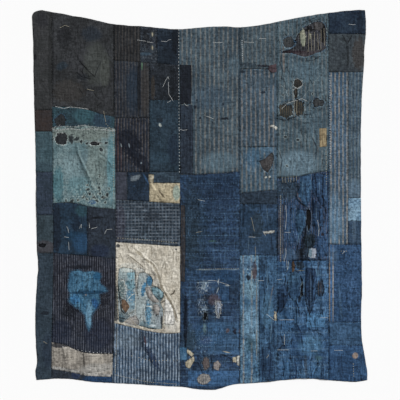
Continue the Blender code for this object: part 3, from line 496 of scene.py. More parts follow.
        "#0a0f18", 0.9, ((152.4, 141.6), (152.8, 149.6), (153.4, 153), (154.7, 156.8)), ((157.6, 141.4),
        (158, 146.4), (156.4, 152), (154.7, 156.8))),
        (0.5, "#0b1017", 0.85, ((160.9, 140.2), (162, 144.4), (161, 148))), (0.25, "#4d6078", 0.8,
        ((153.7, 139), (153.8, 151)), ((155.2, 138.6), (155.3, 153)), ((156.6, 139), (156.5, 149))),
        (0.3, "#0f1622", 0.8, ((154.5, 139), (154.6, 153.6))),
        (0.25, "#6d635d", 0.8, ((159.2, 140.6), (159.3, 147.4))),
        (0.25, "#6d635d", 0.7, ((160.4, 141), (160.4, 147))),
        (0.4, "#13223a", 0.8, ((160.6, 154.4), (161.6, 158.6))),
        (0.4, "#122036", 0.8, ((146.8, 157.6), (147.3, 162.6))),
        (0.45, "#12203a", 0.8, ((148.5, 162.4), (150.5, 166.6), (151.1, 172.6))),
        (0.4, "#12203a", 0.8, ((147.4, 180.6), (148.2, 186), (147.8, 189.6))), (0.4, "#14243c", 0.8,
        ((141.4, 180), (142, 184), (141.6, 188)), ((161.3, 180.6), (161.6, 189.6))), (0.35, "#16263e",
        0.7, ((155.2, 182), (155.6, 188.6)), ((144.4, 181), (145.4, 187)),
        ((150, 178.4), (151.2, 184))), (0.3, "#6a5247", 0.85, ((146.5, 132), (146.6, 137))),
        (0.3, "#858270", 0.8, ((148.5, 135.2), (152, 135.2))),
        (0.3, "#6f787d", 0.8, ((146.3, 137.6), (149, 137.4))),
        (0.3, "#5b5a60", 0.7, ((159, 130.4), (159.1, 135))),
        (0.3, "#8f9c9f", 0.8, ((144.1, 130.2), (144.3, 133), (143.4, 135.6))),
        (0.4, "#57799a", 0.6, ((151.8, 138.8), (152, 146))),
        (0.35, "#5d81a2", 0.6, ((146, 151), (145.4, 158)))),
        moths=(
        (158, 182, 6, 5, "#7d99ac", 0.35), (156, 170, 4, 3, "#83a0b4", 0.3))),
    "navy_corner": cotton("#1c2838", "#273442", stains=((180, 11, 1.5, 6, "#141d2a", 0.7, 0.5),)),
    "charcoal_brown_patch": cotton(
        "#353c42", "#434b50",
        stains=(
        (173.3, 16.6, 0.5, 0.5, "#121417", 0.9, 0.2), (179.5, 27, 3.5, 8, "#3b3735", 0.7, 0.5),
        (175, 19.5, 0.35, 3.5, "#1e2225", 0.85, 0.4, -28),
        (172.2, 19.5, 0.35, 3.5, "#1e2225", 0.85, 0.4, 28), (174, 28, 0.5, 6, "#23272a", 0.8, 0.5))),
    "tan_striped_strip": cotton(
        "#415564", "#54697b",
        stripes=(
        ("down", 20, 164.5, 0.28, "#8a837b", 0.9), ("down", 20, 165.5, 0.25, "#27425f", 0.7)),
        wrinkle_shade_and_relief=0.6, stains=((167.6, 110, 3.6, 13, "#62829b", 0.5, 0.5),)),
    "grey_striped_strip": cotton(
        "#3c4c57", "#4d5e69",
        stripes=(
        ("down", 17, 174.9, 0.3, "#6d7479", 0.6), ("down", 17, 175.8, 0.25, "#2a4360", 0.5)),
        stains=((177, 95, 3.5, 5, "#5d7386", 0.6, 0.7),)),
    "right_light_patch": cotton("#5f7d96", "#7a96a9", grain=1.3, worn=0.6, worn_colour="#9ab2c0"),
    "right_indigo_block": cotton(
        "#2c3f53", "#384b60", worn=0.3, worn_colour="#566c80",
        stains=((177, 115, 1, 6, "#55687a", 0.5, 0.6),)),
    "right_indigo_panel": cotton(
        "#2a4360", "#395373", grain=1.2, worn=0.6, worn_colour="#4f6d89", bands=0.6, wrinkle_shade_and_relief=0.6,
        stains=(
        (164.8, 142, 0.32, 20, "#837b72", 0.85, 0.3), (165.6, 142, 0.45, 20, "#3f638b", 0.8, 0.3),
        (166.5, 142, 0.32, 20, "#8f8b85", 0.85, 0.3), (170, 150, 0.6, 10, "#47627c", 0.5, 0.7, 5),
        (166.6, 128, 2.6, 4, "#56728f", 0.5, 0.7))),
    "right_light_band": cotton(
        "#2c455f", "#395470", worn=0.5, worn_colour="#557390", bands=0.8, wrinkle_shade_and_relief=0.5),
    "lower_corner": cotton(
        "#263f5d", "#345070", worn=0.5, worn_colour="#4d6a87", bands=0.5, wrinkle_shade_and_relief=0.7,
        stains=(
        (177.6, 177.8, 1.5, 1.6, "#8d7d72", 0.9, 0.25), (170, 183, 1.2, 6, "#20334c", 0.6, 0.7, 5))),
}

# Each hole: its piece, across, down, half across, half down, raggedness, cloth that shows in it; the
# near-black rag shown in slits and a small hole is painted shade
HOLES = {
    "teal_hole": ("teal_band", 30.4, 60.3, 3, 2.9, 0.35, "charcoal rag"),
    "light_hole": ("light_patch", 30.8, 69.4, 3.2, 3, 0.35, "charcoal rag"),
    "light_slit": ("light_patch", 47.6, 71.8, 2.7, 0.9, 0.5, "charcoal rag"),
    "border_hole": ("border_green", 21.1, 122.5, 2, 1, 0.4, "hole shade rag"),
    "grey_round_hole": ("grey_blue_panel", 144.3, 21.1, 2.9, 3, 0.25, "dim rag"),
    "grey_hole_2": ("grey_blue_panel", 148.8, 41.9, 2.2, 2.1, 0.4, "brown rag"),
    "grey_hole_3": ("grey_blue_panel", 147.9, 46.6, 1.2, 2.4, 0.4, "brown rag"),
    "grey_hole_4": ("grey_blue_panel", 142.9, 55, 3.4, 4, 0.4, "striped rag"),
    "grey_hole_5": ("grey_blue_panel", 149.4, 53.9, 2.8, 3.9, 0.4, "striped rag"),
    "grey_hole_6": ("grey_blue_panel", 158.8, 51.5, 2.7, 2.3, 0.4, "dim rag"),
    "indigo_hole": ("indigo_panel", 103, 181.6, 2, 3.1, 0.3, "pink rag"),
    "worn_slit": ("indigo_panel", 102.6, 157.8, 0.8, 2.2, 0.5, "hole shade rag"),
    "torn_slit": ("torn_panel", 154.2, 109, 1.2, 5.2, 0.5, "hole shade rag"),
    "wrinkle_slit": ("navy_panel", 150.9, 145, 0.55, 3.3, 0.6, "hole shade rag"),
}

# Each tear: its piece, the cloth that shows in it, its raggedness, and its edge's points
TEARS = {
    "cream_tear": (
        "cream_patch", "lining rag", 0.35, ((59.4, 134.4), (61.6, 133.6), (64.4, 134), (67.6, 135),
        (68.1, 138.6), (69.2, 136.8), (71.6, 136), (75, 137.6), (76.4, 140), (76, 142.8), (78.4, 143.2),
        (82, 146.2), (81.2, 149.6), (80.4, 151), (81.6, 155), (81.4, 160), (81.2, 164.4), (76.4, 164.6),
        (72.4, 163.6), (68.4, 162.4), (65, 159), (61.4, 161.4), (59.4, 161), (59, 151), (58.8, 142))),
    "grey_tear": (
        "grey_blue_panel", "plum rag", 0.5, ((147.4, 19.9), (150.6, 15.3), (154.1, 12.6), (159.1, 10.6),
        (162.2, 12.2), (163.2, 16.4), (163.2, 21.2), (162.4, 24.6), (157.5, 26.9), (152.5, 28.4),
        (148.4, 27.4), (145.6, 26.6), (141, 26.6), (141, 25.7), (145.4, 24.4), (147.8, 22.6))),
    "striped_tear": (
        "lower_striped_panel", "grey rag", 0.35, ((129.6, 80.4), (132.5, 79.2), (135.8, 76.2),
        (136.8, 77.6), (136.4, 81.9), (133.8, 86.4), (131.3, 84.4))),
}

RAG_CLOTHS = {
    # A near-black backing that stands for the shade inside slits and a small hole: painted shade
    "hole shade rag": cotton("#0c0e12", "#16181d"),
    "charcoal rag": cotton("#26292c", "#2d3033"),
    "grey rag": cotton("#3d3b3c", "#504f50", stripes=(("down", 9, 128, 0.4, "#2f3134", 0.7),)),
    "brown rag": cotton("#232628", "#353534", stripes=(("down", 11, 0, 0.3, "#55493a", 0.6),)),
    "dim rag": cotton("#282d31", "#3a3f41", stripes=(("down", 9, 0, 0.3, "#4a4544", 0.6),)),
    "plum rag": cotton(
        "#1b1c21", "#33343a", stripes=(("down", 8, 0, 0.35, "#5d5f63", 0.8),), streaks=1, wrinkle_shade_and_relief=1,
        stains=(
        (155, 26.8, 9, 1.4, "#453f42", 0.7, 0.9), (161.5, 17, 1, 5, "#0f1013", 0.9, 0.8),
        (154.5, 14.5, 2, 1.4, "#101114", 0.9, 0.9), (146, 26, 6, 0.8, "#2a2026", 0.8, 0.8))),
    "striped rag": cotton("#23282b", "#343736", stripes=(("down", 10.5, 0, 0.3, "#5f533f", 0.65),)),
    "pink rag": cotton("#5d5656", "#7a7370", stripes=(("down", 8, 0, 0.4, "#2d2629", 0.8),)),
    "pale rag": cotton("#cfcec9", "#dedcd6", streaks=0.8, wrinkle_shade_and_relief=0.8),
    "lining rag": cotton(
        "#7c898d", "#98a0a1", streaks=0.7, wrinkle_shade_and_relief=1,
        moths=(
        (62.5, 147, 4.5, 12, "#c9cdc9", 0.6), (61, 145, 3, 8, "#3d4c50", 0.6),
        (75.5, 155, 5, 9, "#c2c8c8", 0.5), (75.5, 150, 5, 12, "#39454d", 0.4)),
        stains=(
        (61.6, 136.5, 2.2, 3, "#93a3a5", 0.8, 0.8), (65.6, 137.4, 2, 2.8, "#7ba3b0", 0.8, 0.8),
        (60.6, 144.5, 1.9, 5, "#586b6d", 0.85, 0.9, -6), (65.4, 142, 2.6, 2.4, "#97bac8", 0.8, 0.9),
        (65.4, 148, 2.2, 3.4, "#4b7e9b", 0.8, 1), (70.2, 150, 2.2, 14, "#96a2a4", 0.85, 0.4),
        (60.6, 159.2, 1.8, 2.2, "#3b515e", 0.85, 0.9), (72.4, 163, 5, 2.6, "#5f757e", 0.8, 0.7),
        (61, 158, 3.6, 2.8, "#4a5b62", 0.7, 0.8), (64.5, 134.8, 4, 1.4, "#cdd3cd", 0.7, 0.8),
        (66.2, 153, 1.6, 2, "#7695a4", 0.7, 0.9), (74.8, 140.4, 1.7, 2.6, "#386f92", 0.9, 0.6),
        (71.8, 144.6, 1.1, 3.6, "#3a779c", 0.85, 0.9, -12), (74.2, 156.8, 1.4, 6, "#47809f", 0.8, 1),
        (79.6, 158.6, 1.9, 5.4, "#8d989e", 0.85, 0.6), (76.2, 162.8, 1.6, 0.6, "#c3cdd1", 0.8, 0.9)),
        # The near-black lines round the tear's sides and by the curl are painted shade under the torn
        # edge and the curl; the whitish lines are the lining's own pale shreds
        painted_folds_and_marks=(
        (0.5, "#15191c", 0.9, ((58.8, 142), (59.6, 147), (60.2, 151.6), (60.6, 155), (62.4, 157))),
        (0.4, "#c6cbc6", 0.8, ((60.4, 139.8), (62.4, 140.6), (62.2, 142.6), (63.4, 144.6))),
        (0.35, "#c6cbc6", 0.8, ((64, 149.6), (65.6, 147.6), (67.4, 146.8))),
        (0.4, "#c6cbc6", 0.8, ((67.6, 138.8), (68.2, 144), (67.8, 150), (67.6, 158))),
        (0.35, "#d0d2cb", 0.8, ((73, 153), (76.4, 153.2))),
        (0.35, "#8b8f86", 0.8, ((64, 157.4), (67.6, 155.2))),
        (0.6, "#191b1e", 0.9, ((78.4, 154), (79, 156.4), (78, 158))),
        (0.6, "#17191c", 0.9, ((80.6, 157.6), (81, 164.6))),
        (0.5, "#17191c", 0.9, ((72.8, 164), (80.6, 165))),
        (0.5, "#1d2327", 0.8, ((60, 158.8), (63, 159.8))),
        (0.4, "#2a3338", 0.8, ((66.4, 162.4), (72.6, 163.6))))),
    "blue rag": cotton(
        "#33566f", "#476d86", streaks=0.8, wrinkle_shade_and_relief=1,
        moths=(
        (43, 141, 8, 5, "#23435c", 0.6), (42, 152, 7, 6, "#24455f", 0.6)),
        stains=(
        (43.5, 146.2, 10, 0.9, "#1c3a52", 0.9, 0.4, 2), (41.2, 141, 0.35, 5, "#1f4765", 0.7, 0.4),
        (44.8, 157, 1.8, 6.5, "#6a90a8", 0.8, 0.8), (47, 140.5, 0.3, 4.5, "#1f4765", 0.6, 0.5),
        (37.5, 149.5, 2.6, 2.5, "#3a6d98", 0.7, 0.7), (41, 151, 0.5, 4, "#1f4763", 0.7, 0.7, 30),
        (49, 138, 2.5, 2, "#245273", 0.8, 0.7), (43, 147.4, 0.6, 0.35, "#8f7f74", 0.7, 0.5),
        (47.5, 151.5, 1.5, 3, "#234b7b", 0.7, 0.7, 20))),
    "grid rag": cotton(
        "#7f8a98", "#a3a9b3", streaks=0.9,
        stripes=(
        ("down", 9, 108.2, 0.3, "#59687a", 0.7), ("across", 9, 151, 0.3, "#59687a", 0.7))),
    "cream rag": cotton("#968f7c", "#b1aa97", streaks=0.8),
    "shred rag": cotton("#7e8476", "#a19f8d", streaks=1, wrinkle_shade_and_relief=1),
    "white rag": cotton(
        "#9fa19e", "#bdbdb6", streaks=0.8, stripes=(("down", 12, 60, 0.2, "#8c8c86", 0.5),)),
    "tan rag": cotton("#7c6d55", "#948468", stripes=(("down", 9, 0, 0.3, "#b3a88a", 0.8),)),
    "dark side rag": cotton("#212934", "#2a3440", stripes=(("down", 17, 90, 0.3, "#363f4b", 0.6),)),
    "night rag": cotton("#191e26", "#22272f", stains=((92.9, 42, 3, 9, "#171c24", 0.5, 0.5),)),
    "navy rag": cotton(
        "#1f3149", "#334c69", streaks=0.8, wrinkle_shade_and_relief=1,
        painted_folds_and_marks=(
        (0.6, "#0d1521", 0.8, ((157.4, 88), (158, 94), (157.6, 101))),
        (0.5, "#0d1521", 0.8, ((161.6, 88), (161.2, 96), (162, 104))),
        (0.4, "#5a7690", 0.7, ((159.6, 89), (159.8, 96))),
        (0.4, "#57728c", 0.6, ((163, 90), (163, 99))),
        (0.5, "#0d1521", 0.8, ((159.4, 103), (159.8, 113))),
        (0.3, "#62788c", 0.6, ((158, 103), (158.2, 110))),
        (0.3, "#0f1826", 0.8, ((154.4, 136), (154.6, 152)), ((156.2, 136), (156, 150))),
        (0.3, "#53697f", 0.7, ((155.2, 136), (155.4, 154))),
        (0.3, "#0f1826", 0.8, ((141.4, 145), (141.6, 155))))),
    "flap rag": cotton(
        "#2c4560", "#42617c", streaks=0.8, wrinkle_shade_and_relief=1,
        painted_folds_and_marks=(
        (0.5, "#6a6268", 0.8, ((148.6, 96), (149, 98.6), (150.6, 100.6))),
        (0.4, "#1d2c40", 0.8, ((153, 90), (152.4, 96), (153.6, 102))),
        (0.3, "#61809a", 0.6, ((151.4, 90), (151, 97))))),
    "lilac rag": cotton(
        "#7c8896", "#979faa",
        stains=(
        (157.1, 126.4, 0.9, 2.6, "#a3abb9", 0.9, 0.4), (155, 126.4, 0.9, 2.6, "#5a7280", 0.9, 0.5))),
    "grey curl rag": cotton("#7d7f80", "#95918c", streaks=0.8),
    "brown curl rag": cotton("#544439", "#75604f"),
    "beige curl rag": cotton("#908f8c", "#aba9a5", streaks=0.8),
    "pale teal rag": cotton("#5f8592", "#8aa3ab", streaks=0.8, wrinkle_shade_and_relief=1),
    "dotted rag": cotton("#25354a", "#35485c", stripes=(("down", 9, 139, 0.35, "#665f5e", 0.75),)),
    "fray rag": cotton("#738788", "#93a3a0", streaks=1, moths=((42, 80, 30, 40, "#2d3f45", 0.9),)),
    "strip rag": cotton("#262930", "#30343a", stripes=(("down", 12, 90.2, 0.4, "#524b47", 0.7),)),
    "ribbed rag": cotton("#294f6e", "#366082", stripes=(("down", 6, 89.6, 0.4, "#6c8ca3", 0.8),)),
    "oval rag": cotton("#7a7a7a", "#918d88", stripes=(("down", 9, 98.6, 0.3, "#434752", 0.8),)),
    "pink oval rag": cotton("#6e6a6a", "#8a8482", stripes=(("down", 8, 0, 0.3, "#9a9490", 0.6),)),
    "plum scrap rag": cotton("#40363b", "#514449"),
}
# Each rag: its cloth, raggedness, lift in millimetres, and its edge's points
RAGS = {
    "blue_rag": (
        "blue rag", 0.7, 0.8, ((35.3, 135.6), (39.4, 135), (41.9, 136), (46.3, 135.6), (49.4, 136.2),
        (50.6, 137.5), (50, 141.2), (53.2, 144), (53.8, 145.6), (49.4, 146.9), (50, 151.2),
        (47.5, 155.3), (46, 157.5), (45.6, 163.2), (44.4, 165.6), (43.2, 162.5), (42.5, 158.2),
        (40.6, 155.6), (37.5, 153.4), (34.4, 150.6), (35, 146.9), (33.8, 144.4), (34, 142.5),
        (34.7, 138.2))),
    "night_rag": (
        "night rag", 0.15, 0.5, ((89.9, 32.3), (95.6, 32.6), (95.8, 42), (95.5, 51.9), (90, 52.2),
        (90, 42))),
    "dark_striped_rag": (
        "dark side rag", 0.15, 0.5, ((90, 52.6), (96.2, 52.5), (96.6, 70), (96.4, 87), (90.2, 87),
        (90.1, 70))),
    "cream_neck": ("cream rag", 0.1, 0.6, ((74.3, 87), (77, 87.2), (76.8, 91.6), (74.4, 91.6))),
    "tan_patch": ("tan rag", 0.15, 0.6, ((159.6, 64.2), (163.3, 64), (163.4, 73.2), (159.8, 73.6))),
    "plum_scrap": (
        "plum scrap rag", 0.5, 0.8, ((134.3, 33), (136.5, 32.2), (138.2, 31.8), (138.3, 36),
        (135.8, 36.4), (134.2, 34.8))),
    "white_blob": (
        "white rag", 0.5, 1.5, ((134.6, 62.6), (137, 62.4), (138.8, 63.8), (138, 65.2), (136.8, 63.9),
        (134.8, 63.9))),
    "blue_flap": (
        "flap rag", 0.4, 5, ((149.8, 88.4), (155, 87.2), (155.8, 92), (155.2, 99), (153.6, 103.4),
        (151, 101.6), (148.2, 98.6), (149.6, 93.6))),
    "navy_flap": (
        "navy rag", 0.4, 6, ((156.2, 87.4), (160, 86.8), (163.8, 87), (163.9, 97), (162.6, 104.5),
        (159.4, 101), (157.6, 96), (156, 97.6), (155.9, 92))),
    "navy_fold": (
        "navy rag", 0.5, 6, ((156, 99), (159, 102), (161.8, 107), (161.4, 112), (158.6, 115.4),
        (156.4, 110))),
    "slit_flap": (
        "flap rag", 0.4, 5, ((148.2, 105), (151.6, 104.4), (152.8, 108), (152.2, 113), (150, 119),
        (148, 113))),
    "lilac_scrap": (
        "lilac rag", 0.5, 3, ((154.3, 124.4), (156.2, 124), (157.9, 124.2), (158, 126.8), (157.6, 129),
        (155.4, 128.9), (154.1, 128.4))),
    "tan_scrap": (
        "brown curl rag", 0.6, 2, ((146, 131), (147, 130.4), (147.3, 134), (146.9, 136.8), (146, 136))),
    "wrinkle_tongue": (
        "navy rag", 0.4, 5, ((153, 134), (157.6, 134.4), (158.4, 141), (157.2, 150), (155.4, 156.6),
        (153.8, 150), (152.4, 142))),
    "wrinkle_leaf": (
        "flap rag", 0.4, 4, ((143.8, 136.6), (147.6, 135.2), (150, 137.4), (149.6, 145), (147.2, 151.4),
        (144.6, 147))),
    "wrinkle_side": (
        "navy rag", 0.4, 4, ((139.4, 144), (142.4, 142), (144, 147), (142.2, 153), (139.6, 157),
        (138.9, 150))),
    "white_bar": (
        "white rag", 0.6, 1.5, ((131.8, 115.8), (134.4, 115.4), (137.3, 115.2), (137.4, 116.4),
        (134.6, 116.8), (132, 117))),
    "cream_scrap": (
        "shred rag", 1.1, 1.2, ((149.8, 14.8), (151.6, 14), (152.8, 17.4), (153, 20.6), (152.2, 23.4),
        (151, 22.8), (149.8, 18.4))),
    "cream_strip": ("shred rag", 0.9, 1, ((154.4, 16.6), (155.5, 16.4), (155.6, 19.4), (154.6, 19.8))),
    "brown_round": (
        "grey rag", 0.4, 1.5, ((156.8, 11.2), (160.6, 10.8), (161.6, 13.2), (160, 15.6), (157, 15))),
    "dotted_strip": (
        "dotted rag", 0.2, 0.4, ((138.9, 102.5), (141.6, 102.4), (141.8, 115), (141.8, 127),
        (138.9, 127.2), (138.9, 115))),
    "light_fray": (
        "fray rag", 1.2, 0.4, ((26.6, 64), (31, 63), (36, 63.4), (42, 62.9), (48, 63.5), (53, 64.0),
        (57, 64.4), (57, 65.2), (52, 64.8), (46, 64.2), (40, 64.6), (34, 64.2), (30, 64.8),
        (26.6, 64.8))),
    "seam_strip": (
        "strip rag", 0.1, 0.5, ((90.4, 102.5), (92.5, 102.6), (92.8, 122), (92.4, 141), (90.4, 140.6),
        (90.4, 122))),
    "ribbed_patch": ("ribbed rag", 0.2, 1, ((89.6, 173.2), (93.4, 173.6), (93.6, 180), (90, 180.5))),
    "cream_fold": ("cream rag", 0.3, 2, ((93.6, 174.2), (97, 177), (96, 178.4), (93.4, 176.2))),
    "cream_triangle": (
        "cream rag", 0.4, 1, ((92.6, 181), (96.8, 178), (97.2, 180), (94.8, 184.4), (93.2, 183.6))),
    "pale_oval": (
        "oval rag", 0.15, 0.8, ((98.4, 189), (101, 186.8), (104.6, 187.2), (105.6, 190), (102.8, 192.2),
        (99.4, 191.6))),
    "pink_oval": (
        "pink oval rag", 0.2, 0.8, ((106.6, 181.4), (109, 180.2), (110.6, 182.2), (109.2, 185.4),
        (106.8, 184.4))),
    "cream_tab": (
        "cream rag", 0.3, 0.8, ((116.2, 178.6), (118.3, 178.4), (118.2, 181.2), (116.4, 180.9))),
    "white_tab": (
        "white rag", 0.3, 0.8, ((118.3, 177.8), (119.8, 177.6), (119.8, 183), (118.5, 182.4))),
    "white_scrap": (
        "grid rag", 1.2, 0.8, ((108, 151), (109.6, 150.6), (110.3, 153), (109.9, 156.2), (109.2, 159),
        (108.4, 156))),
    "cream_knot": ("cream rag", 0.6, 2, ((137, 155.6), (138.2, 155.8), (138.3, 160.4), (137.1, 160))),
    "curl_3": (
        "pale teal rag", 0.5, 4, ((75.6, 143.8), (78.4, 143.4), (81.6, 146), (82, 147.6), (80.2, 150.2),
        (77.6, 148.6), (76, 146))),
    "curl_1": (
        "grey curl rag", 0.4, 6, ((72.4, 143.6), (74.8, 143.6), (76.4, 146.6), (78.6, 149.4),
        (79.8, 151), (77, 151.2), (74, 148.6))),
    "curl_2": (
        "grey curl rag", 0.6, 5, ((76.4, 152.6), (78.4, 152), (80.2, 153.6), (79.4, 157.4), (77, 157))),
    "white_layer": (
        "pale rag", 0.4, 1.2, ((82.6, 149), (84.6, 150.6), (86.4, 154.6), (87.4, 160.4), (86.8, 162.4),
        (82.4, 162.2), (82, 156))),
    "white_fold": (
        "white rag", 0.5, 1, ((68, 133.6), (71.6, 134.4), (72.4, 135.8), (69.6, 136.6), (68.8, 141),
        (67.9, 146), (67.6, 138))),
    "beige_fray": (
        "beige curl rag", 1.1, 0.8, ((26.4, 183), (33, 184), (40, 185.4), (48, 186.6), (55.4, 186.8),
        (55.6, 188.4), (50, 188.2), (44, 187.8), (37, 186.4), (31, 185.2), (26.4, 184.6))),
    "brown_shred": (
        "brown curl rag", 0.4, 3, ((60.6, 149.6), (62.4, 150), (64.6, 152.8), (64, 155), (62.6, 156.4),
        (61, 153.6))),
    "low_shred": (
        "grey curl rag", 0.6, 2, ((62, 161), (65, 158.6), (68, 157.8), (69.6, 160.6), (69.4, 162.6),
        (65.4, 162.2))),
    "teal_shred": (
        "pale teal rag", 1.3, 2, ((63.4, 140.6), (66.8, 139.6), (67.4, 143.6), (65.6, 145.4),
        (63.8, 144))),
}

# Each crease: from across, down, to across, down, width in centimetres, height in millimetres
CREASES = (
    (93.2, 148, 93.4, 173, 1.8, 5), (94.8, 148, 95, 172, 1.6, -3), (38.5, 75, 42, 84, 1.5, 4.5),
    (42, 84, 46.5, 94, 1.5, 4.5), (50, 78.5, 57, 82.5, 1.3, 3.5), (65, 125, 72.5, 129, 1.5, 4.5),
    (72.5, 129, 77.5, 136, 1.6, 5.5), (77.5, 136, 80, 142.5, 1.6, 5.5), (80, 142.5, 82.5, 148, 1.6, 5),
    (82.5, 148, 89, 164, 1.6, 5), (86.4, 145, 88.2, 144, 1, 3), (64, 127.5, 68.5, 131, 1.3, 3),
    (71.5, 169, 74, 176, 1.5, 4), (74, 176, 79, 185, 1.5, 4), (32, 174, 32, 181, 1.2, 3),
    (42, 176.5, 43, 185, 1.2, 3.5), (135.5, 150, 131.5, 162.5, 1.5, 4),
    (131.5, 162.5, 133, 167.5, 1.5, 4), (133, 172, 133.6, 190, 1.3, 4), (130.6, 173, 131, 189, 1.3, -3),
    (146.5, 178, 147.4, 189, 1.3, 4), (149.6, 176.5, 152.4, 188, 1.3, 4),
    (154, 177, 154.4, 189, 1.3, 3), (143, 178, 143.4, 189, 1.2, 3), (161, 170, 161.4, 189, 1.3, 4),
    (164.9, 163, 165, 189, 1.3, 3), (141, 132, 142.6, 158, 1.4, 4.5), (144.5, 130, 146, 156, 1.4, -4),
    (148, 150, 149.4, 168, 1.4, 5), (151.5, 152, 152.6, 170, 1.4, -4), (155, 157, 156.6, 172, 1.4, 4),
    (158.5, 132, 159.4, 158, 1.4, -4), (161, 128, 161.6, 160, 1.4, 4.5),
    (163.2, 132, 163.2, 156, 1.2, -3), (149.5, 103, 153.5, 116, 1.5, 5), (158, 112, 160, 127, 1.5, 5),
    (155, 112, 156, 128, 1.5, -5), (148, 118, 147, 134, 1.5, 4.5), (144, 104, 145, 126, 1.4, 3.5),
    (40, 29, 45.5, 37, 1.6, 4), (176, 17, 173.8, 23, 1.1, 3), (171, 16.5, 173.8, 23, 1.1, 3),
    (173.8, 23, 174.2, 35, 1.1, 3), (75, 91.5, 81.5, 100.5, 1.2, 4), (138, 57, 154, 61, 1.5, 3.5),
    (75, 106, 80, 113, 1.3, 3), (112, 100, 110, 140, 2.4, 1.5), (60.5, 70, 73.5, 84, 2, 3),
    (28, 62.6, 56, 64.6, 1.2, 2), (121, 35, 138, 35, 1.2, 3),
)

# Each rumpled place: across, down, half across, half down, its waves' width and length, height in mm
RUMPLES = (
    (151, 105, 13.5, 32, 3, 10, 7), (152, 147, 13.5, 24, 2.2, 14, 8), (152, 178, 14, 13, 2.4, 8, 7),
    (71, 150, 10, 15, 3, 5, 2.5), (44, 145, 12, 14, 2.5, 4.5, 2.5), (156, 20, 9, 12, 2.5, 7, 4),
    (146, 50, 9, 12, 3, 4, 3), (104, 155, 8, 16, 2.5, 6, 3.5), (130, 165, 10, 28, 2.2, 14, 4),
    (42, 80, 16, 20, 3, 5, 2.5), (104, 183, 14, 8, 2.5, 3, 3.5), (42, 181, 15, 5.5, 2, 2.5, 2.5),
    (130, 80, 10, 14, 2.5, 5, 3), (73, 180, 15, 14, 3, 5, 3), (174, 183, 12, 10, 2.5, 5, 3),
    (104, 130, 14, 45, 3.5, 7, 2.5), (42, 32, 16, 24, 3, 3.5, 2.5), (72, 112, 15, 12, 3, 3, 2.5),
    (150, 65, 14, 22, 2.5, 5, 3), (129, 48, 10, 28, 2.2, 7, 2.5), (104, 55, 14, 38, 3, 9, 2),
    (42, 115, 15, 14, 3, 3.5, 3), (172, 150, 10, 32, 2.5, 6, 2.5), (74, 80, 16, 28, 2.5, 5, 2.5),
    (80, 136, 9, 16, 2.5, 5, 2.5), (128, 110, 10, 18, 2.5, 4, 2.5),
)

# Each line of sewing: thread, pitch in millimetres, and its points across and down
STITCH_LINES = {
    ("white", 7): (((28, 53.3), (32, 54.3), (35, 53.5), (39.5, 54), (44, 54.6)),),
    ("white", 19): (((31.5, 173.4), (36, 174.4), (41, 175.3), (47, 176.3), (54.5, 176.6)),),
    ("cream", 17): (((66, 178), (76, 180.4), (88.6, 180)),),
    ("white", 9): (((121, 20.5), (121.2, 30.5)),),
    ("cream", 9): (((140.2, 98), (140.2, 130.5)), ((170.5, 125.5), (173.2, 125.6))),
    ("white", 15): (((89.4, 15), (89.4, 29)),),
    ("white", 16): (((89.3, 31), (89.5, 58), (89.7, 86)),),
    ("cream", 12): (
        ((59, 119), (74, 120), (88, 121.4)), ((163, 76), (163.2, 92)),
        ((53, 62), (56.6, 66), (56.8, 98))),
    ("cream", 10): (
        ((59.5, 124.5), (59.6, 133)), ((89.2, 126), (89.2, 160)), ((58.6, 164), (57.6, 186)),
        ((58, 187.6), (74, 191), (88, 192))),
    ("blue", 13): (
        ((92, 99.5), (119, 99.2)), ((92, 109), (119, 108.6)), ((92, 127), (119, 126.6)),
        ((92, 118), (119, 117.6))),
    ("cream", 11): (((100, 134.6), (119, 134.2)), ((176.6, 182), (176.8, 188))),
    ("blue", 12): (
        ((96, 92), (118, 91.6)), ((120.6, 128.4), (137.8, 128.2)), ((137.4, 134), (137.6, 170)),
        ((176, 100), (176.2, 118))),
    ("white", 12): (((164.9, 38), (165, 84)),),
    ("blue", 14): (
        ((139.5, 168), (163.5, 167.5)), ((139.5, 181), (163.5, 180.6)), ((166, 132), (180, 132)),
        ((166, 172), (180, 172.4))),
}

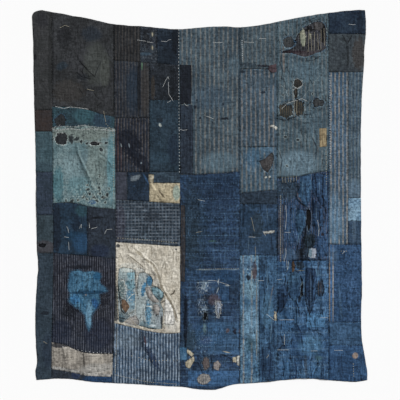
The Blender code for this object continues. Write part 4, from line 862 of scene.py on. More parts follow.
# Each loose thread: thread, and its points across and down
LOOSE_THREADS = {
    "white": (
        ((106.5, 21.2), (108.5, 21.4), (111.2, 21.2)), ((103, 58), (107, 59.6)),
        ((122, 21), (127, 21.3)), ((129.5, 19.4), (133, 19.2)), ((92, 51.6), (93.2, 52.8), (94.2, 53)),
        ((89.2, 64.4), (91.5, 65.2), (93.6, 64.9)),
        ((81.4, 43.6), (82.6, 40.6), (84, 38.2), (84.4, 39.6)), ((84.2, 41), (84.4, 47), (86.6, 50.6)),
        ((83.6, 51.2), (85.6, 50.4)), ((80.6, 20.6), (83, 20.8), (85.4, 19.6)),
        ((68.6, 20), (73, 20.6)), ((73.6, 21), (76.6, 21.4)),
        ((33.4, 113.2), (34.2, 115), (34.4, 116.4)), ((32.2, 118.4), (34.5, 118.8)),
        ((39.6, 114.2), (40.8, 112.2), (40.6, 114)), ((34.2, 121), (34.6, 125)),
        ((44.6, 111.6), (44.8, 114)), ((45.8, 114.4), (48.6, 113.6)),
        ((52.2, 117), (53.4, 114.8), (56, 114.6)), ((124.2, 118.4), (127.6, 118.6)),
        ((131.4, 115.6), (132.8, 117.8)), ((142.8, 102.6), (143.2, 108), (142.6, 114.8)),
        ((142.4, 116.2), (145.2, 116.2)), ((142.8, 124.2), (143, 127), (142, 131)),
        ((158.6, 110), (159.4, 114.6), (159.2, 118)), ((142.2, 167), (142.2, 172.4)),
        ((138.6, 174.9), (144.6, 174.9)), ((160.2, 158.8), (163.8, 158.8)),
        ((155.4, 175.4), (158.8, 175.4)), ((167, 175.1), (171.5, 175.2)),
        ((138.6, 139.8), (141, 139.6)), ((129, 140.4), (132, 140.2)), ((133, 156.8), (137, 160)),
        ((174.4, 12.2), (177.8, 12.4)), ((104, 140.2), (108, 140.4), (114.6, 142.6)),
        ((108.6, 141.6), (109.6, 139.6)), ((171, 127), (172.6, 125.4)), ((99, 99.8), (102.5, 100.6)),
        ((139.8, 159.9), (146.8, 159.8)), ((146.2, 44.8), (148.6, 44.2), (151.2, 42.8)), ((140.8, 54.6),
        (143.4, 51.8), (147, 50.6), (151, 49.4), (153.6, 50.6))),
    "cream": (
        ((51.8, 55.6), (52.9, 61)), ((30, 14), (32.5, 12.6), (34.6, 13.4)), ((43.5, 44.6), (47, 45.4)),
        ((21.6, 170.6), (23.5, 171.8)), ((125.5, 108.6), (126.4, 112), (127.2, 115.6)),
        ((127.6, 123.2), (127.9, 127.6), (127.6, 130.8)), ((143.2, 130.2), (143.6, 134.4)),
        ((133.2, 179), (134.2, 177.8), (134, 177)), ((98, 116.4), (101, 115.6)),
        ((141.2, 88.6), (141.4, 91.2)), ((142.6, 88.4), (142.6, 91.4)), ((144, 88.2), (144.2, 91)),
        ((145.4, 88), (145.3, 91.2)), ((146.8, 88), (147, 90.8)), ((148.2, 88), (148.3, 90.6)),
        ((154.4, 15), (154, 26)), ((155.4, 17), (155.8, 25.4)), ((157.2, 16), (157, 25.6)),
        ((158.8, 17), (159.2, 25)), ((160.6, 15), (160.4, 24.8)), ((162, 14.2), (162.2, 22.8)),
        ((147.2, 47.6), (147, 52), (147.3, 58.4)), ((148.4, 50), (148.2, 57))),
    "blue": (
        ((99, 134.3), (110, 134.9), (119.5, 134.4)), ((139.8, 51.8), (142.2, 50.2), (146.4, 49.6))),
}
# The fraying round each hole, tear or rag: its thread
FRINGES = {
    "light_hole": "white", "teal_hole": "blue", "light_slit": "white", "grey_round_hole": "blue",
    "grey_hole_2": "white", "grey_hole_4": "blue", "grey_hole_5": "blue", "grey_hole_6": "blue",
    "grey_tear": "blue", "striped_tear": "blue", "cream_tear": "cream", "blue_rag": "blue",
    "indigo_hole": "blue", "white_scrap": "white", "low_shred": "white", "light_fray": "white",
}


def length_choice(name, description, default):
    """A length property in metres."""
    return bpy.props.FloatProperty(
        name=name, description=description, default=default, min=0.0, unit="LENGTH")


class ClothSizes(bpy.types.PropertyGroup):
    """Sizes of the cotton and its sewing that a user may change."""

    pucker_height: length_choice("Pucker Height", "Height of the cloth's small waves", 0.0011)
    edge_roll: length_choice("Edge Roll", "How far a turned edge rounds down at a seam", 0.0021)
    roll_width: length_choice("Roll Width", "Width of a turned edge", 0.005)
    rag_thickness: length_choice("Rag Thickness", "Thickness of a single worn layer", 0.0008)
    thread_width: length_choice("Thread Width", "Width of the sewing thread", 0.0042)
    thread_thickness: length_choice("Thread Thickness", "How far a stitch stands up", 0.0024)
    fringe_pitch: length_choice("Fringe Pitch", "Distance between frayed yarns", 0.0022)
    fringe_length: length_choice("Fringe Length", "Length of a frayed yarn", 0.008)
    stitch_length: length_choice("Stitch Length", "Length of one running stitch", 0.0055)


def colour_choice(name, code):
    """A colour property whose default is a web colour."""
    return bpy.props.FloatVectorProperty(
        name=name, description="Colour of the " + name.lower(), subtype="COLOR",
        default=dye(code)[:3], min=0.0, max=1.0)


class ClothColours(bpy.types.PropertyGroup):
    """The threads' colours."""

    white: colour_choice("White Thread", "#e2e6e6")
    cream: colour_choice("Cream Thread", "#c0b9a4")
    blue: colour_choice("Blue Thread", "#587896")


class ClothLight(bpy.types.PropertyGroup):
    """The studio's light."""

    sun_strength: bpy.props.FloatProperty(
        name="Sun Strength", description="Strength of the main light", default=2.9, min=0.0)
    sky_strength: bpy.props.FloatProperty(
        name="Sky Strength", description="Strength of the light from all round", default=0.38, min=0.0)
    floor_colour: bpy.props.FloatVectorProperty(
        name="Floor Colour", description="Colour of the floor", subtype="COLOR",
        default=(0.99, 0.99, 0.99), min=0.0, max=1.0)


class Wire:
    """An output of a material's tree, which Python's operators work on."""

    def __init__(self, tree, socket):
        self.tree, self.socket = tree, socket

    def __add__(self, other):
        return self.tree.math("ADD", self, other)

    def __sub__(self, other):
        return self.tree.math("SUBTRACT", self, other)

    def __rsub__(self, other):
        return self.tree.math("SUBTRACT", other, self)

    def __mul__(self, other):
        return self.tree.math("MULTIPLY", self, other)

    def __truediv__(self, other):
        return self.tree.math("DIVIDE", self, other)

    __radd__, __rmul__ = __add__, __mul__


class ClothTree:
    """The node tree of one material or group."""

    def __init__(self, tree):
        self.tree = tree

    def node(self, kind, settings=None, sockets=None, output=0):
        """Adds a node: its settings first, then its sockets' values or links."""
        made = self.tree.nodes.new(kind)
        for name, value in (settings or {}).items():
            setattr(made, name, value)
        for key, value in (sockets or {}).items():
            self.feed(made.inputs[key], value)
        return Wire(self, made.outputs[output])

    def feed(self, socket, value):
        if isinstance(value, Wire):
            self.tree.links.new(value.socket, socket)
        else:
            socket.default_value = value

    def math(self, operation, first, second=0.0):
        return self.node("ShaderNodeMath", {"operation": operation}, {0: first, 1: second})

    def smooth(self, value, low, high):
        """0 under low, 1 over high, and soft between; the other way round if low is the greater."""
        ends = {1: min(low, high), 2: max(low, high), 3: float(low > high), 4: float(low < high)}
        return self.node(
            "ShaderNodeMapRange", {"interpolation_type": "SMOOTHSTEP"}, {0: value, **ends})

    def mix(self, share, first, second, blend="MIX"):
        return self.node(
            "ShaderNodeMix", {"data_type": "RGBA", "blend_type": blend, "clamp_factor": True},
            {0: share, 6: first, 7: second}, 2)

    def noise(self, place_wire, scale, detail=2.0, roughness=0.5, distortion=0.0):
        return self.node("ShaderNodeTexNoise", None, {
            "Vector": place_wire, "Scale": scale, "Detail": detail, "Roughness": roughness,
            "Distortion": distortion})

    def stretched(self, place_wire, across, down):
        return self.node(
            "ShaderNodeVectorMath", {"operation": "MULTIPLY"},
            {0: place_wire, 1: (across, down, 1.0)})


def new_material(name):
    """A new material, its tree and its shader."""
    material = bpy.data.materials.new(name)
    material.use_nodes = True
    tree = ClothTree(material.node_tree)
    return material, tree, material.node_tree.nodes["Principled BSDF"]


# The dark middle of a painted bite: partly the layer beneath and partly painted shade in the hole
HOLE_SHADE_AND_UNDERLAYER = "#1b2126"
SPOT_COLOURS = ("Colour", "Dye")
SPOT_NUMBERS = (
    "X", "Y", "Middle X", "Middle Y", "Half Along", "Half Over", "Turn", "Rough", "Raggedness",
    "Inner", "Outer", "Strength",
)


def spot_group():
    """The node group that lays one turned oval of colour with a ragged, soft edge, for stains, for
    painted shade and highlights, and for painted holes.
    """
    group = bpy.data.node_groups.get("dye_spot")
    if group:
        return group
    group = bpy.data.node_groups.new("dye_spot", "ShaderNodeTree")
    for label in SPOT_COLOURS + SPOT_NUMBERS:
        kind = "NodeSocketColor" if label in SPOT_COLOURS else "NodeSocketFloat"
        group.interface.new_socket(label, in_out="INPUT", socket_type=kind)
    group.interface.new_socket("Colour", in_out="OUTPUT", socket_type="NodeSocketColor")
    group.interface.new_socket("Share", in_out="OUTPUT", socket_type="NodeSocketFloat")
    tree = ClothTree(group)
    entry, leave = group.nodes.new("NodeGroupInput"), group.nodes.new("NodeGroupOutput")
    given = {label: Wire(tree, entry.outputs[label]) for label in SPOT_COLOURS + SPOT_NUMBERS}
    cosine, sine = tree.math("COSINE", given["Turn"]), tree.math("SINE", given["Turn"])
    off_x, off_y = given["X"] - given["Middle X"], given["Y"] - given["Middle Y"]
    along = (off_x * cosine + off_y * sine) / given["Half Along"]
    over = (off_y * cosine - off_x * sine) / given["Half Over"]
    radius = tree.math("SQRT", along * along + over * over) + given["Rough"] * given["Raggedness"]
    share = given["Strength"] * tree.node(
        "ShaderNodeMapRange", {"interpolation_type": "SMOOTHSTEP"},
        {0: radius, 1: given["Inner"], 2: given["Outer"], 3: 1.0, 4: 0.0})
    tree.feed(leave.inputs["Colour"], tree.mix(share, given["Colour"], given["Dye"]))
    tree.feed(leave.inputs["Share"], share)
    return group


def cotton_material(name, look):
    """Worn cotton: dye, yarn streaks, stripes, stains, moth holes, specks, bare yarns and weave, with
    painted shade and highlights along folds and slits, and painted shade in bite holes, by tears and
    along edges.
    """
    material, tree, shader = new_material(name)
    position = tree.node("ShaderNodeTexCoord", output=3)
    axes = tree.node("ShaderNodeSeparateXYZ", None, {0: position})
    x, y = axes, Wire(tree, axes.socket.node.outputs[1])
    blotches = tree.noise(position, 9.0, 4.0, 0.6)
    crumple = tree.noise(position, 38.0, 3.0, 0.6)
    grain = tree.noise(position, 85.0, 3.0, 0.65)
    fine = tree.noise(position, 330.0, 2.0, 0.6)
    warp = tree.noise(tree.stretched(position, 210.0, 16.0), 1.0, 3.0, 0.6)
    weft = tree.noise(tree.stretched(position, 16.0, 210.0), 1.0, 3.0, 0.6)
    banding = tree.noise(tree.stretched(position, 3.0, 55.0), 1.0, 3.0, 0.6)

    fade = tree.smooth(blotches + (grain - 0.5) * 0.6, 0.35, 0.68)
    colour = tree.mix(fade, dye(look["ground"]), dye(look["faded"]))
    wander = (blotches - 0.5) * 0.007 + (crumple - 0.5) * 0.003
    for direction, pitch, start, share, stripe_colour, strength in look["stripes"]:
        start_x, start_y = place(start, start)
        along = (x + wander - start_x) if direction == "down" else (y + wander - start_y)
        step = tree.math("FRACT", along / (pitch * MILLIMETRE))
        off = tree.math("ABSOLUTE", step - 0.5) * 2.0
        breaks = tree.smooth(warp if direction == "down" else weft, 0.3, 0.6)
        worn_off = tree.smooth(crumple, 0.62, 0.42)
        band = tree.smooth(off, share + 0.22, share - 0.12)
        band = band * (0.35 + breaks * 0.65) * (0.45 + worn_off * 0.55) * strength
        colour = tree.mix(band, colour, dye(stripe_colour))
    for left, head, right, foot, block, strength in look["blocks"]:
        span_x, span_y = (right - left) / 2, (foot - head) / 2
        centre_x, centre_y = place(left + span_x, head + span_y)
        off_x = tree.math("ABSOLUTE", x - centre_x) - span_x * CENTIMETRE
        off_y = tree.math("ABSOLUTE", y - centre_y) - span_y * CENTIMETRE
        off = tree.math("MAXIMUM", off_x, off_y) + (grain - 0.5) * 0.006
        colour = tree.mix(tree.smooth(off, 0.002, -0.002) * strength, colour, dye(block))
    rough = (grain - 0.5) * 2.0 + (fine - 0.5)

    def spot(colour, middle, half_along, half_over, turn, mark_colour, strength, ragged, inner, outer):
        middle_x, middle_y = place(*middle)
        sockets = {
            "Colour": colour, "Dye": dye(mark_colour), "X": x, "Y": y, "Middle X": middle_x,
            "Middle Y": middle_y, "Half Along": half_along * CENTIMETRE,
            "Half Over": half_over * CENTIMETRE, "Turn": turn, "Rough": rough,
            "Raggedness": ragged, "Inner": inner, "Outer": outer, "Strength": strength}
        colour = tree.node("ShaderNodeGroup", {"node_tree": spot_group()}, sockets)
        return colour, Wire(tree, colour.socket.node.outputs["Share"])

    for across, down, half_across, half_down, mark_colour, strength, ragged, *turn in look["stains"]:
        colour, _ = spot(
            colour, (across, down), half_across, half_down, math.radians(sum(turn)), mark_colour,
            strength, ragged, 0.8, 1.15)
    # Bites are painted: a pale frayed rim round a dark middle, partly the layer beneath and partly
    # painted shade
    for across, down, half in look["bites"]:
        middle, turn = (across, down), across * 7.0
        colour, _ = spot(
            colour, middle, half * 1.5 + 0.35, half + 0.35, turn, look["frayed"], 0.8, 0.9, 0.6, 1.1)
        colour, _ = spot(colour, middle, half * 1.5, half, turn, HOLE_SHADE_AND_UNDERLAYER, 0.95, 0.9, 0.8, 1.2)
    dashes = tree.noise(tree.stretched(position, 270.0, 85.0), 1.0, 2.0, 0.5)
    pits = tree.noise(position, 120.0, 2.0, 0.5, 0.6)
    for across, down, half_across, half_down, moth, share in look["moths"]:
        pale = sum(dye(moth)[:3]) > 0.3
        edge = 0.66 - 0.14 * share
        marks = dashes if pale else pits
        zone = ((across, down), half_across, half_down, 0.0)
        spots = tree.smooth(marks, edge, edge + 0.06) * (0.7 if pale else 0.88)
        colour, _ = spot(colour, *zone, moth, spots, 0.5, 0.6, 1.1)
    groove = 0.0
    # Thin lines of painted shade and painted highlight along folds and slits, and a few of the cloth's
    # own marks; they also sink the bump
    for width, fold_line_colour, strength, *fold_line_paths in look["painted_folds_and_marks"]:
        for start, end in (pair for line in fold_line_paths for pair in zip(line, line[1:])):
            span = Vector(place(*end)) - Vector(place(*start))
            middle = ((start[0] + end[0]) / 2, (start[1] + end[1]) / 2)
            colour, dark = spot(
                colour, middle, span.length * 60.0, width * 0.75, math.atan2(span.y, span.x),
                fold_line_colour, strength, 0.5, 0.6, 1.25)
            groove = dark + groove
    if look["worn"]:
        bare = tree.smooth(tree.math("MAXIMUM", warp, weft), 0.58, 0.72) * look["worn"]
        colour = tree.mix(bare * tree.smooth(crumple, 0.3, 0.6), colour, dye(look["worn_colour"]))
    if look["specks"]:
        edge = 0.70 - 0.2 * look["specks"]
        spots = tree.smooth(fine, edge, edge + 0.05) * tree.smooth(grain, 0.45, 0.6)
        colour = tree.mix(spots * 0.75, colour, dye(look["speck"]))
    # Painted shade in thin fold lines and a painted highlight beside them, in the colour; the fold
    # lines also sink the bump
    folds = tree.noise(tree.stretched(position, 30.0, 6.5), 1.0, 2.0, 0.5, 0.9)
    creases = tree.noise(position, 24.0, 2.0, 0.5, 0.9)
    deep = tree.smooth(tree.math("ABSOLUTE", folds - 0.5), 0.028, 0.0)
    shallow = tree.smooth(tree.math("ABSOLUTE", creases - 0.5), 0.02, 0.0)
    lit = tree.smooth(tree.math("ABSOLUTE", folds - 0.55), 0.03, 0.0) * look["wrinkle_shade_and_relief"]
    lines = (deep * 0.8 + shallow * 0.5) * (tree.smooth(blotches, 0.34, 0.56) * look["wrinkle_shade_and_relief"])
    tone = (1.0 - lines * 0.7 + lit * 0.22
            + (warp - 0.5) * (2.4 * look["streaks"]) + (weft - 0.5) * (1.8 * look["streaks"])
            + (grain - 0.5) * (1.8 * look["grain"]) + (fine - 0.5) * (1.0 * look["grain"])
            + (blotches - 0.5) * (0.9 if look["bands"] else 0.5))
    if look["bands"]:
        tone = tone + (banding - 0.5) * (1.6 * look["bands"])
    torn = tree.node("ShaderNodeAttribute", {"attribute_name": "torn"}, None, 2)
    seam = tree.node("ShaderNodeAttribute", {"attribute_name": "seam"}, None, 2)
    rough_torn = torn + (grain - 0.5) * 0.014 + (fine - 0.5) * 0.006
    fray = tree.smooth(rough_torn, 0.0065, 0.001) * tree.smooth(pits, 0.42, 0.56)
    colour = tree.mix(fray * 0.6, colour, dye(look["frayed"]))
    # Painted shade in small cracks near torn edges
    tear_crack_shade = tree.smooth(tree.math("ABSOLUTE", crumple - 0.5), 0.035, 0.0)
    tear_crack_shade = tear_crack_shade * tree.smooth(torn, 0.03, 0.006)
    # Painted shade along the piece's edges, as strong as look's edge value says
    rough_seam = seam + (grain - 0.5) * 0.003
    tone = tone - tear_crack_shade * 0.6 - tree.smooth(rough_seam, 0.004, 0.0012) * look["edge"]
    tone = tree.math("MAXIMUM", tone, 0.12)
    colour = tree.mix(1.0, colour, tree.node(
        "ShaderNodeCombineXYZ", None, {0: tone, 1: tone, 2: tone}), "MULTIPLY")

    bump = tree.node("ShaderNodeBump", None, {
        "Strength": 0.9, "Distance": 0.003,
        "Height": crumple * 1.9 + grain * 1.1 + fine * 0.3 + warp * 0.3 + weft * 0.3
        - lines * 0.6 - groove * 1.2})
    tree.feed(shader.inputs["Base Color"], colour)
    tree.feed(shader.inputs["Roughness"], 0.75 + grain * 0.2)
    tree.feed(shader.inputs["Normal"], bump)
    shader.inputs["Specular IOR Level"].default_value = 0.15
    return material


def smoothstep(low, high, value):
    t = np.clip((value - low) / (high - low), 0.0, 1.0)
    return t * t * (3.0 - 2.0 * t)


def wave(points, size, seed):
    """Smooth noise from -1 to 1 at each point, with waves of about that size in metres."""
    shift = Vector((seed * 7.3, seed * 3.1, seed))
    return np.array([noise.noise(Vector((p[0] / size, p[1] / size, 0.0)) + shift) for p in points])


def crease_height(points):
    """The height in metres that the creases add at each point."""
    total = np.zeros(len(points))
    for from_across, from_down, to_across, to_down, width, height in CREASES:
        start = np.array(place(from_across, from_down))
        along = np.array(place(to_across, to_down)) - start
        offset = points[:, :2] - start
        share = np.clip(offset @ along / (along @ along), 0.0, 1.0)
        away = np.linalg.norm(offset - share[:, None] * along, axis=1)
        near = away < width * CENTIMETRE
        total[near] += (
            height * MILLIMETRE * np.cos(0.5 * math.pi * away[near] / (width * CENTIMETRE)) ** 2)
    return total


def hole_outline(hole, seed, reach=1.0):
    """The ragged closed line round a hole, or that line drawn out by a reach."""
    _, across, down, half_across, half_down, ragged, _ = hole
    count = max(24, int(2.0 * math.pi * max(half_across, half_down) / 0.3))
    line = []
    for angle in np.linspace(0.0, 2.0 * math.pi, count, endpoint=False):
        turn = Vector((math.cos(angle), math.sin(angle), 0.0))
        rim = reach + ragged * (
            0.9 * noise.noise(turn * 1.6 + Vector((0, 0, seed)))
            + 0.6 * noise.noise(turn * 6.0 + Vector((0, 0, seed + 9))))
        line.append(Vector(place(
            across + half_across * rim * turn.x, down - half_down * rim * turn.y)))
    return line


def mesh_points(mesh):
    points = np.empty(len(mesh.vertices) * 3)
    mesh.vertices.foreach_get("co", points)
    return points.reshape(-1, 3)


def link(name, data):
    """A new object of the scene that shows the data."""
    made = bpy.data.objects.new(name, data)
    bpy.context.scene.collection.objects.link(made)
    return made


def baked(thing):
    """The object's mesh as its modifiers leave it."""
    graph = bpy.context.evaluated_depsgraph_get()
    return bpy.data.meshes.new_from_object(thing.evaluated_get(graph), depsgraph=graph)


def solid_outline(node):
    """The corners round a node's upper side, in order."""
    work = bmesh.new()
    work.from_mesh(frame["nodes"][node].data)
    bmesh.ops.remove_doubles(work, verts=work.verts[:], dist=WELD)
    work.normal_update()
    bmesh.ops.delete(work, geom=[f for f in work.faces if f.normal.z < 0.3], context="FACES")
    follow = {}
    for face in work.faces:
        for loop in face.loops:
            if loop.edge.is_boundary:
                follow[loop.vert.index] = (loop.vert.co.xy.copy(), loop.link_loop_next.vert.index)
    start = next(iter(follow))
    line, index = [], start
    while not line or index != start:
        spot, index = follow[index]
        line.append(spot)
    work.free()
    return line


def round_line(corners, step, sharp=72.0):
    """A closed line through the corners, sampled at a step and smooth where they turn little."""
    count = len(corners)
    tangents = []
    for index, corner in enumerate(corners):
        back = corner - corners[index - 1]
        ahead = corners[(index + 1) % count] - corner
        bent = back.angle(ahead, 0.0) > math.radians(sharp)
        tangents.append(None if bent else (back + ahead).normalized())
    line = []
    for index, start in enumerate(corners):
        end = corners[(index + 1) % count]
        span = end - start
        leave = (tangents[index] or span.normalized()) * span.length
        arrive = (tangents[(index + 1) % count] or span.normalized()) * span.length
        steps = max(1, round(span.length / step))
        for number in range(steps):
            t = number / steps
            line.append(
                start * ((1 + 2 * t) * (1 - t) ** 2) + leave * (t * (1 - t) ** 2)
                + end * (t * t * (3 - 2 * t)) + arrive * (t * t * (t - 1)))
    return line


def inside(spots, line):
    """Whether each spot lies inside a closed line."""
    first = np.array([tuple(p) for p in line])
    second = np.roll(first, 1, axis=0)
    result = np.zeros(len(spots), dtype=bool)
    for (x1, y1), (x2, y2) in zip(first, second):
        if y1 != y2:
            crosses = (y1 > spots[:, 1]) != (y2 > spots[:, 1])
            result ^= crosses & (spots[:, 0] < x1 + (x2 - x1) * (spots[:, 1] - y1) / (y2 - y1))
    return result


def distances(spots, lines):
    """Each spot's distance from the nearest of some closed lines."""
    rim = []
    for line in lines:
        for index, point in enumerate(line):
            rim += [point, (point + line[index - 1]) / 2]
    if not rim:
        return np.full(len(spots), 1.0)
    tree = kdtree.KDTree(len(rim))
    for index, point in enumerate(rim):
        tree.insert((point.x, point.y, 0.0), index)
    tree.balance()
    return np.array([tree.find((p[0], p[1], 0.0))[2] for p in spots])


def filled(outline, holes, step, seed):
    """Triangles inside an outline and outside its holes, finer along their edges."""
    lines = [outline, *holes]
    rim = np.array([tuple(p) for line in lines for p in line])
    low, high = rim.min(axis=0), rim.max(axis=0)
    rows, columns = (int((high[i] - low[i]) / (step * (0.87, 1.0)[1 - i])) + 2 for i in (1, 0))
    grid = np.array([
        (low[0] + (c + 0.5 * (r % 2)) * step, low[1] + r * 0.87 * step)
        for r in range(rows) for c in range(columns)])
    rng = np.random.default_rng(int(seed) + 1)
    grid += rng.uniform(-0.15, 0.15, grid.shape) * step
    loose = [grid]
    for line in lines:
        points = np.array([tuple(p) for p in line])
        along = np.roll(points, -1, axis=0) - np.roll(points, 1, axis=0)
        along /= np.linalg.norm(along, axis=1)[:, None] + 1e-9
        side = np.stack([-along[:, 1], along[:, 0]], axis=1)
        loose += [points + side * off for off in (0.0022, -0.0022)]
    spots = np.concatenate(loose)
    keep = inside(spots, outline)
    for hole in holes:
        keep &= ~inside(spots, hole)
    away = distances(spots, lines)
    fresh = np.arange(len(spots)) < len(grid)
    keep &= away > np.where(fresh, 0.0036, 0.0019)
    spots = spots[keep]
    edges, start = [], 0
    for line in lines:
        edges += [(start + i, start + (i + 1) % len(line)) for i in range(len(line))]
        start += len(line)
    vertices = [Vector(p) for p in rim] + [Vector(p) for p in spots]
    made = delaunay_2d_cdt(vertices, edges, [tuple(range(len(outline)))], 1, 0.00001)
    points, faces = np.array([tuple(p) for p in made[0]]), made[2]
    middles = points[np.array(faces)].mean(axis=1)
    open_at = np.zeros(len(faces), dtype=bool)
    for hole in holes:
        open_at |= inside(middles, hole)
    return points, [f for f, gone in zip(faces, open_at) if not gone]


def thick_sheet(mesh, undersides, material, seam, torn):
    """Closes a single layer downwards to the given heights, with walls round every edge.

    Each point keeps its distance from the seam and from torn edges, for the material's pale fraying and
    its painted shade along edges and beside tears.
    """
    for name, values in (("seam", seam), ("torn", torn)):
        layer = mesh.attributes.new(name, "FLOAT", "POINT")
        layer.data.foreach_set("value", np.clip(values, -0.02, 0.2).astype(np.float32))
    work = bmesh.new()
    work.from_mesh(mesh)
    lower = list(work.verts)
    bmesh.ops.extrude_face_region(work, geom=work.faces[:], use_keep_orig=True)
    for vertex, height in zip(lower, undersides):
        vertex.co.z = height
    bmesh.ops.recalc_face_normals(work, faces=work.faces[:])
    for face in work.faces:
        face.smooth = True
    for edge in work.edges:
        edge.smooth = edge.calc_face_angle(0.0) < math.radians(50)
    work.to_mesh(mesh)
    work.free()
    mesh.materials.append(material)


def faces_tree(things):
    """A tree of all the faces of some objects, to cast rays on."""
    vertices, faces = [], []
    for thing in things:
        start = len(vertices)
        vertices += [tuple(v.co) for v in thing.data.vertices]
        faces += [tuple(start + i for i in p.vertices) for p in thing.data.polygons]
    return BVHTree.FromPolygons(vertices, faces)


class Ground:
    """The smooth height of the solids' upper side, read off them once."""

    STEP = 0.005
    SPREAD = 2.2
    grid = None
    low = None

    @classmethod
    def read(cls):
        tree = faces_tree(frame["nodes"].values())
        corners = np.array(CAD_BOX, dtype=float)
        cls.low = corners.min(axis=0)[:2] - 0.03
        columns, rows = ((corners.max(axis=0)[:2] + 0.03 - cls.low) / cls.STEP).astype(int) + 1
        heights = np.full((rows, columns), np.nan)
        for row in range(rows):
            for column in range(columns):
                spot = (cls.low[0] + column * cls.STEP, cls.low[1] + row * cls.STEP, 1.0)
                hit = tree.ray_cast(spot, (0.0, 0.0, -1.0))[0]
                if hit:
                    heights[row, column] = hit.z
        known = ~np.isnan(heights)
        reach = np.arange(-7, 8)
        bell = np.exp(-0.5 * (reach / cls.SPREAD) ** 2)
        blurred = []
        for layer in (np.where(known, heights, 0.0), known.astype(float)):
            for axis in (0, 1):
                layer = np.apply_along_axis(lambda a: np.convolve(a, bell, mode="same"), axis, layer)
            blurred.append(layer)
        cls.grid = np.where(
            blurred[1] > 1e-6, blurred[0] / np.maximum(blurred[1], 1e-6), CLOTH_THICKNESS)

    @classmethod
    def at(cls, points):
        """The height at each point."""
        off = (points[:, :2] - cls.low) / cls.STEP
        limit = np.array(cls.grid.shape)[::-1] - 2
        cell = np.clip(off.astype(int), 0, limit)
        share = np.clip(off - cell, 0.0, 1.0)
        column, row = cell[:, 0], cell[:, 1]
        lower = cls.grid[row, column] * (1 - share[:, 0]) + cls.grid[row, column + 1] * share[:, 0]
        upper = cls.grid[row + 1, column] * (1 - share[:, 0]) + (
            cls.grid[row + 1, column + 1] * share[:, 0])
        return lower * (1 - share[:, 1]) + upper * share[:, 1]


def rumple_height(points):
    """The height in metres that the rumpled places add at each point."""
    total = np.zeros(len(points))
    for index, (across, down, half_across, half_down, wide, tall, height) in enumerate(RUMPLES):
        off = (points[:, :2] - place(across, down)) / (np.array([half_across, half_down]) * CENTIMETRE)
        share = np.clip(1.0 - np.sum(off * off, axis=1), 0.0, 1.0) ** 0.7
        near = np.nonzero(share > 0)[0]
        waves = np.array([
            noise.noise(Vector((
                points[i, 0] / (wide * CENTIMETRE), points[i, 1] / (tall * CENTIMETRE), index * 3.7)))
            for i in near])
        ridges = 1.0 - 2.2 * np.abs(waves)
        total[near] += share[near] * height * MILLIMETRE * ridges
    return total


def wobbled(points):
    """The points moved a little aside, alike on both sides of a seam."""
    moved = points.copy()
    moved[:, 0] += 0.0016 * wave(points, 0.045, 31.0) + 0.0007 * wave(points, 0.012, 33.0)
    moved[:, 1] += 0.0016 * wave(points, 0.045, 32.0) + 0.0007 * wave(points, 0.012, 34.0)
    return moved


def openings():
    """Each hole and tear: its name, piece, the cloth in it, its edge and a wider edge."""
    made = []
    for index, (name, hole) in enumerate(HOLES.items()):
        made.append((
            name, hole[0], hole[-1], hole_outline(hole, float(index)),
            hole_outline(hole, float(index), 1.18)))
    for index, (name, (node, cloth, ragged, points)) in enumerate(TEARS.items()):
        edge = closed_outline(points, ragged, 60.0 + index)
        middle = sum(edge, Vector((0.0, 0.0))) / len(edge)
        wide = [p + (p - middle).normalized() * 0.005 for p in edge]
        made.append((name, node, cloth, edge, wide))
    return made


def sewn_piece(node, material, sizes):
    """A node's cotton: its solid's form with rolled edges, puckers, creases and holes."""
    seed = float(list(CLOTHS).index(node))
    outline = round_line(solid_outline(node), OUTLINE_STEP)
    holes = [edge for _, owner, _, edge, _ in openings() if owner == node]
    flat, faces = filled(outline, holes, GRID_STEP, seed)
    edge, torn = distances(flat, [outline]), distances(flat, holes)
    points = np.column_stack([wobbled(flat), np.zeros(len(flat))])
    ground = Ground.at(points)
    inner = smoothstep(0.0, 0.02, edge)
    heights = ground + (crease_height(points) + rumple_height(points)) * smoothstep(0.0, 0.006, edge)
    heights += sizes.pucker_height * inner * (
        0.9 * wave(points, 0.07, 1.0) + 0.6 * wave(points, 0.028, 2.0) + 0.3 * wave(points, 0.013, 3.0))
    heights += 0.8 * sizes.pucker_height * np.exp(-edge / 0.018) * wave(points, 0.014, seed + 5.0)
    heights -= sizes.edge_roll * (1.0 - smoothstep(0.0, sizes.roll_width, edge))
    heights -= 0.0008 * (1.0 - smoothstep(0.0, 0.004, torn))
    undersides = ground - CLOTH_THICKNESS + 0.0001
    points[:, 2] = np.maximum(heights, undersides + 0.0009)
    mesh = bpy.data.meshes.new(node)
    mesh.from_pydata(points.tolist(), [], faces)
    thick_sheet(mesh, undersides, material, edge, torn)
    return link(node + "_cotton", mesh)


class Surface:
    """The finished upper surface of the cloth, for what lies on it."""

    tree = None

    @classmethod
    def gather(cls, *marks):
        """Reads all the objects that have one of the marks in their names."""
        things = bpy.context.scene.objects
        cls.tree = faces_tree([t for t in things if any(mark in t.name for mark in marks)])

    @classmethod
    def height(cls, x, y):
        hit = cls.tree.ray_cast(Vector((x, y, 1.0)), Vector((0.0, 0.0, -1.0)))[0]
        return hit.z if hit else CLOTH_THICKNESS


def closed_outline(points, ragged, seed):
    """A smooth closed line through taped points, with ragged sides."""
    corners = [Vector(place(*p)) for p in points]
    line = round_line(corners[::-1], RAG_OUTLINE_STEP, 60.0)
    middle = sum(line, Vector((0.0, 0.0))) / len(line)
    rough = []
    for point in line:
        amount = noise.noise(Vector((point.x * 160, point.y * 160, seed)))
        amount += 0.7 * noise.noise(Vector((point.x * 420, point.y * 420, seed + 5)))
        rough.append(point + (point - middle).normalized() * amount * ragged * 0.006)
    return rough


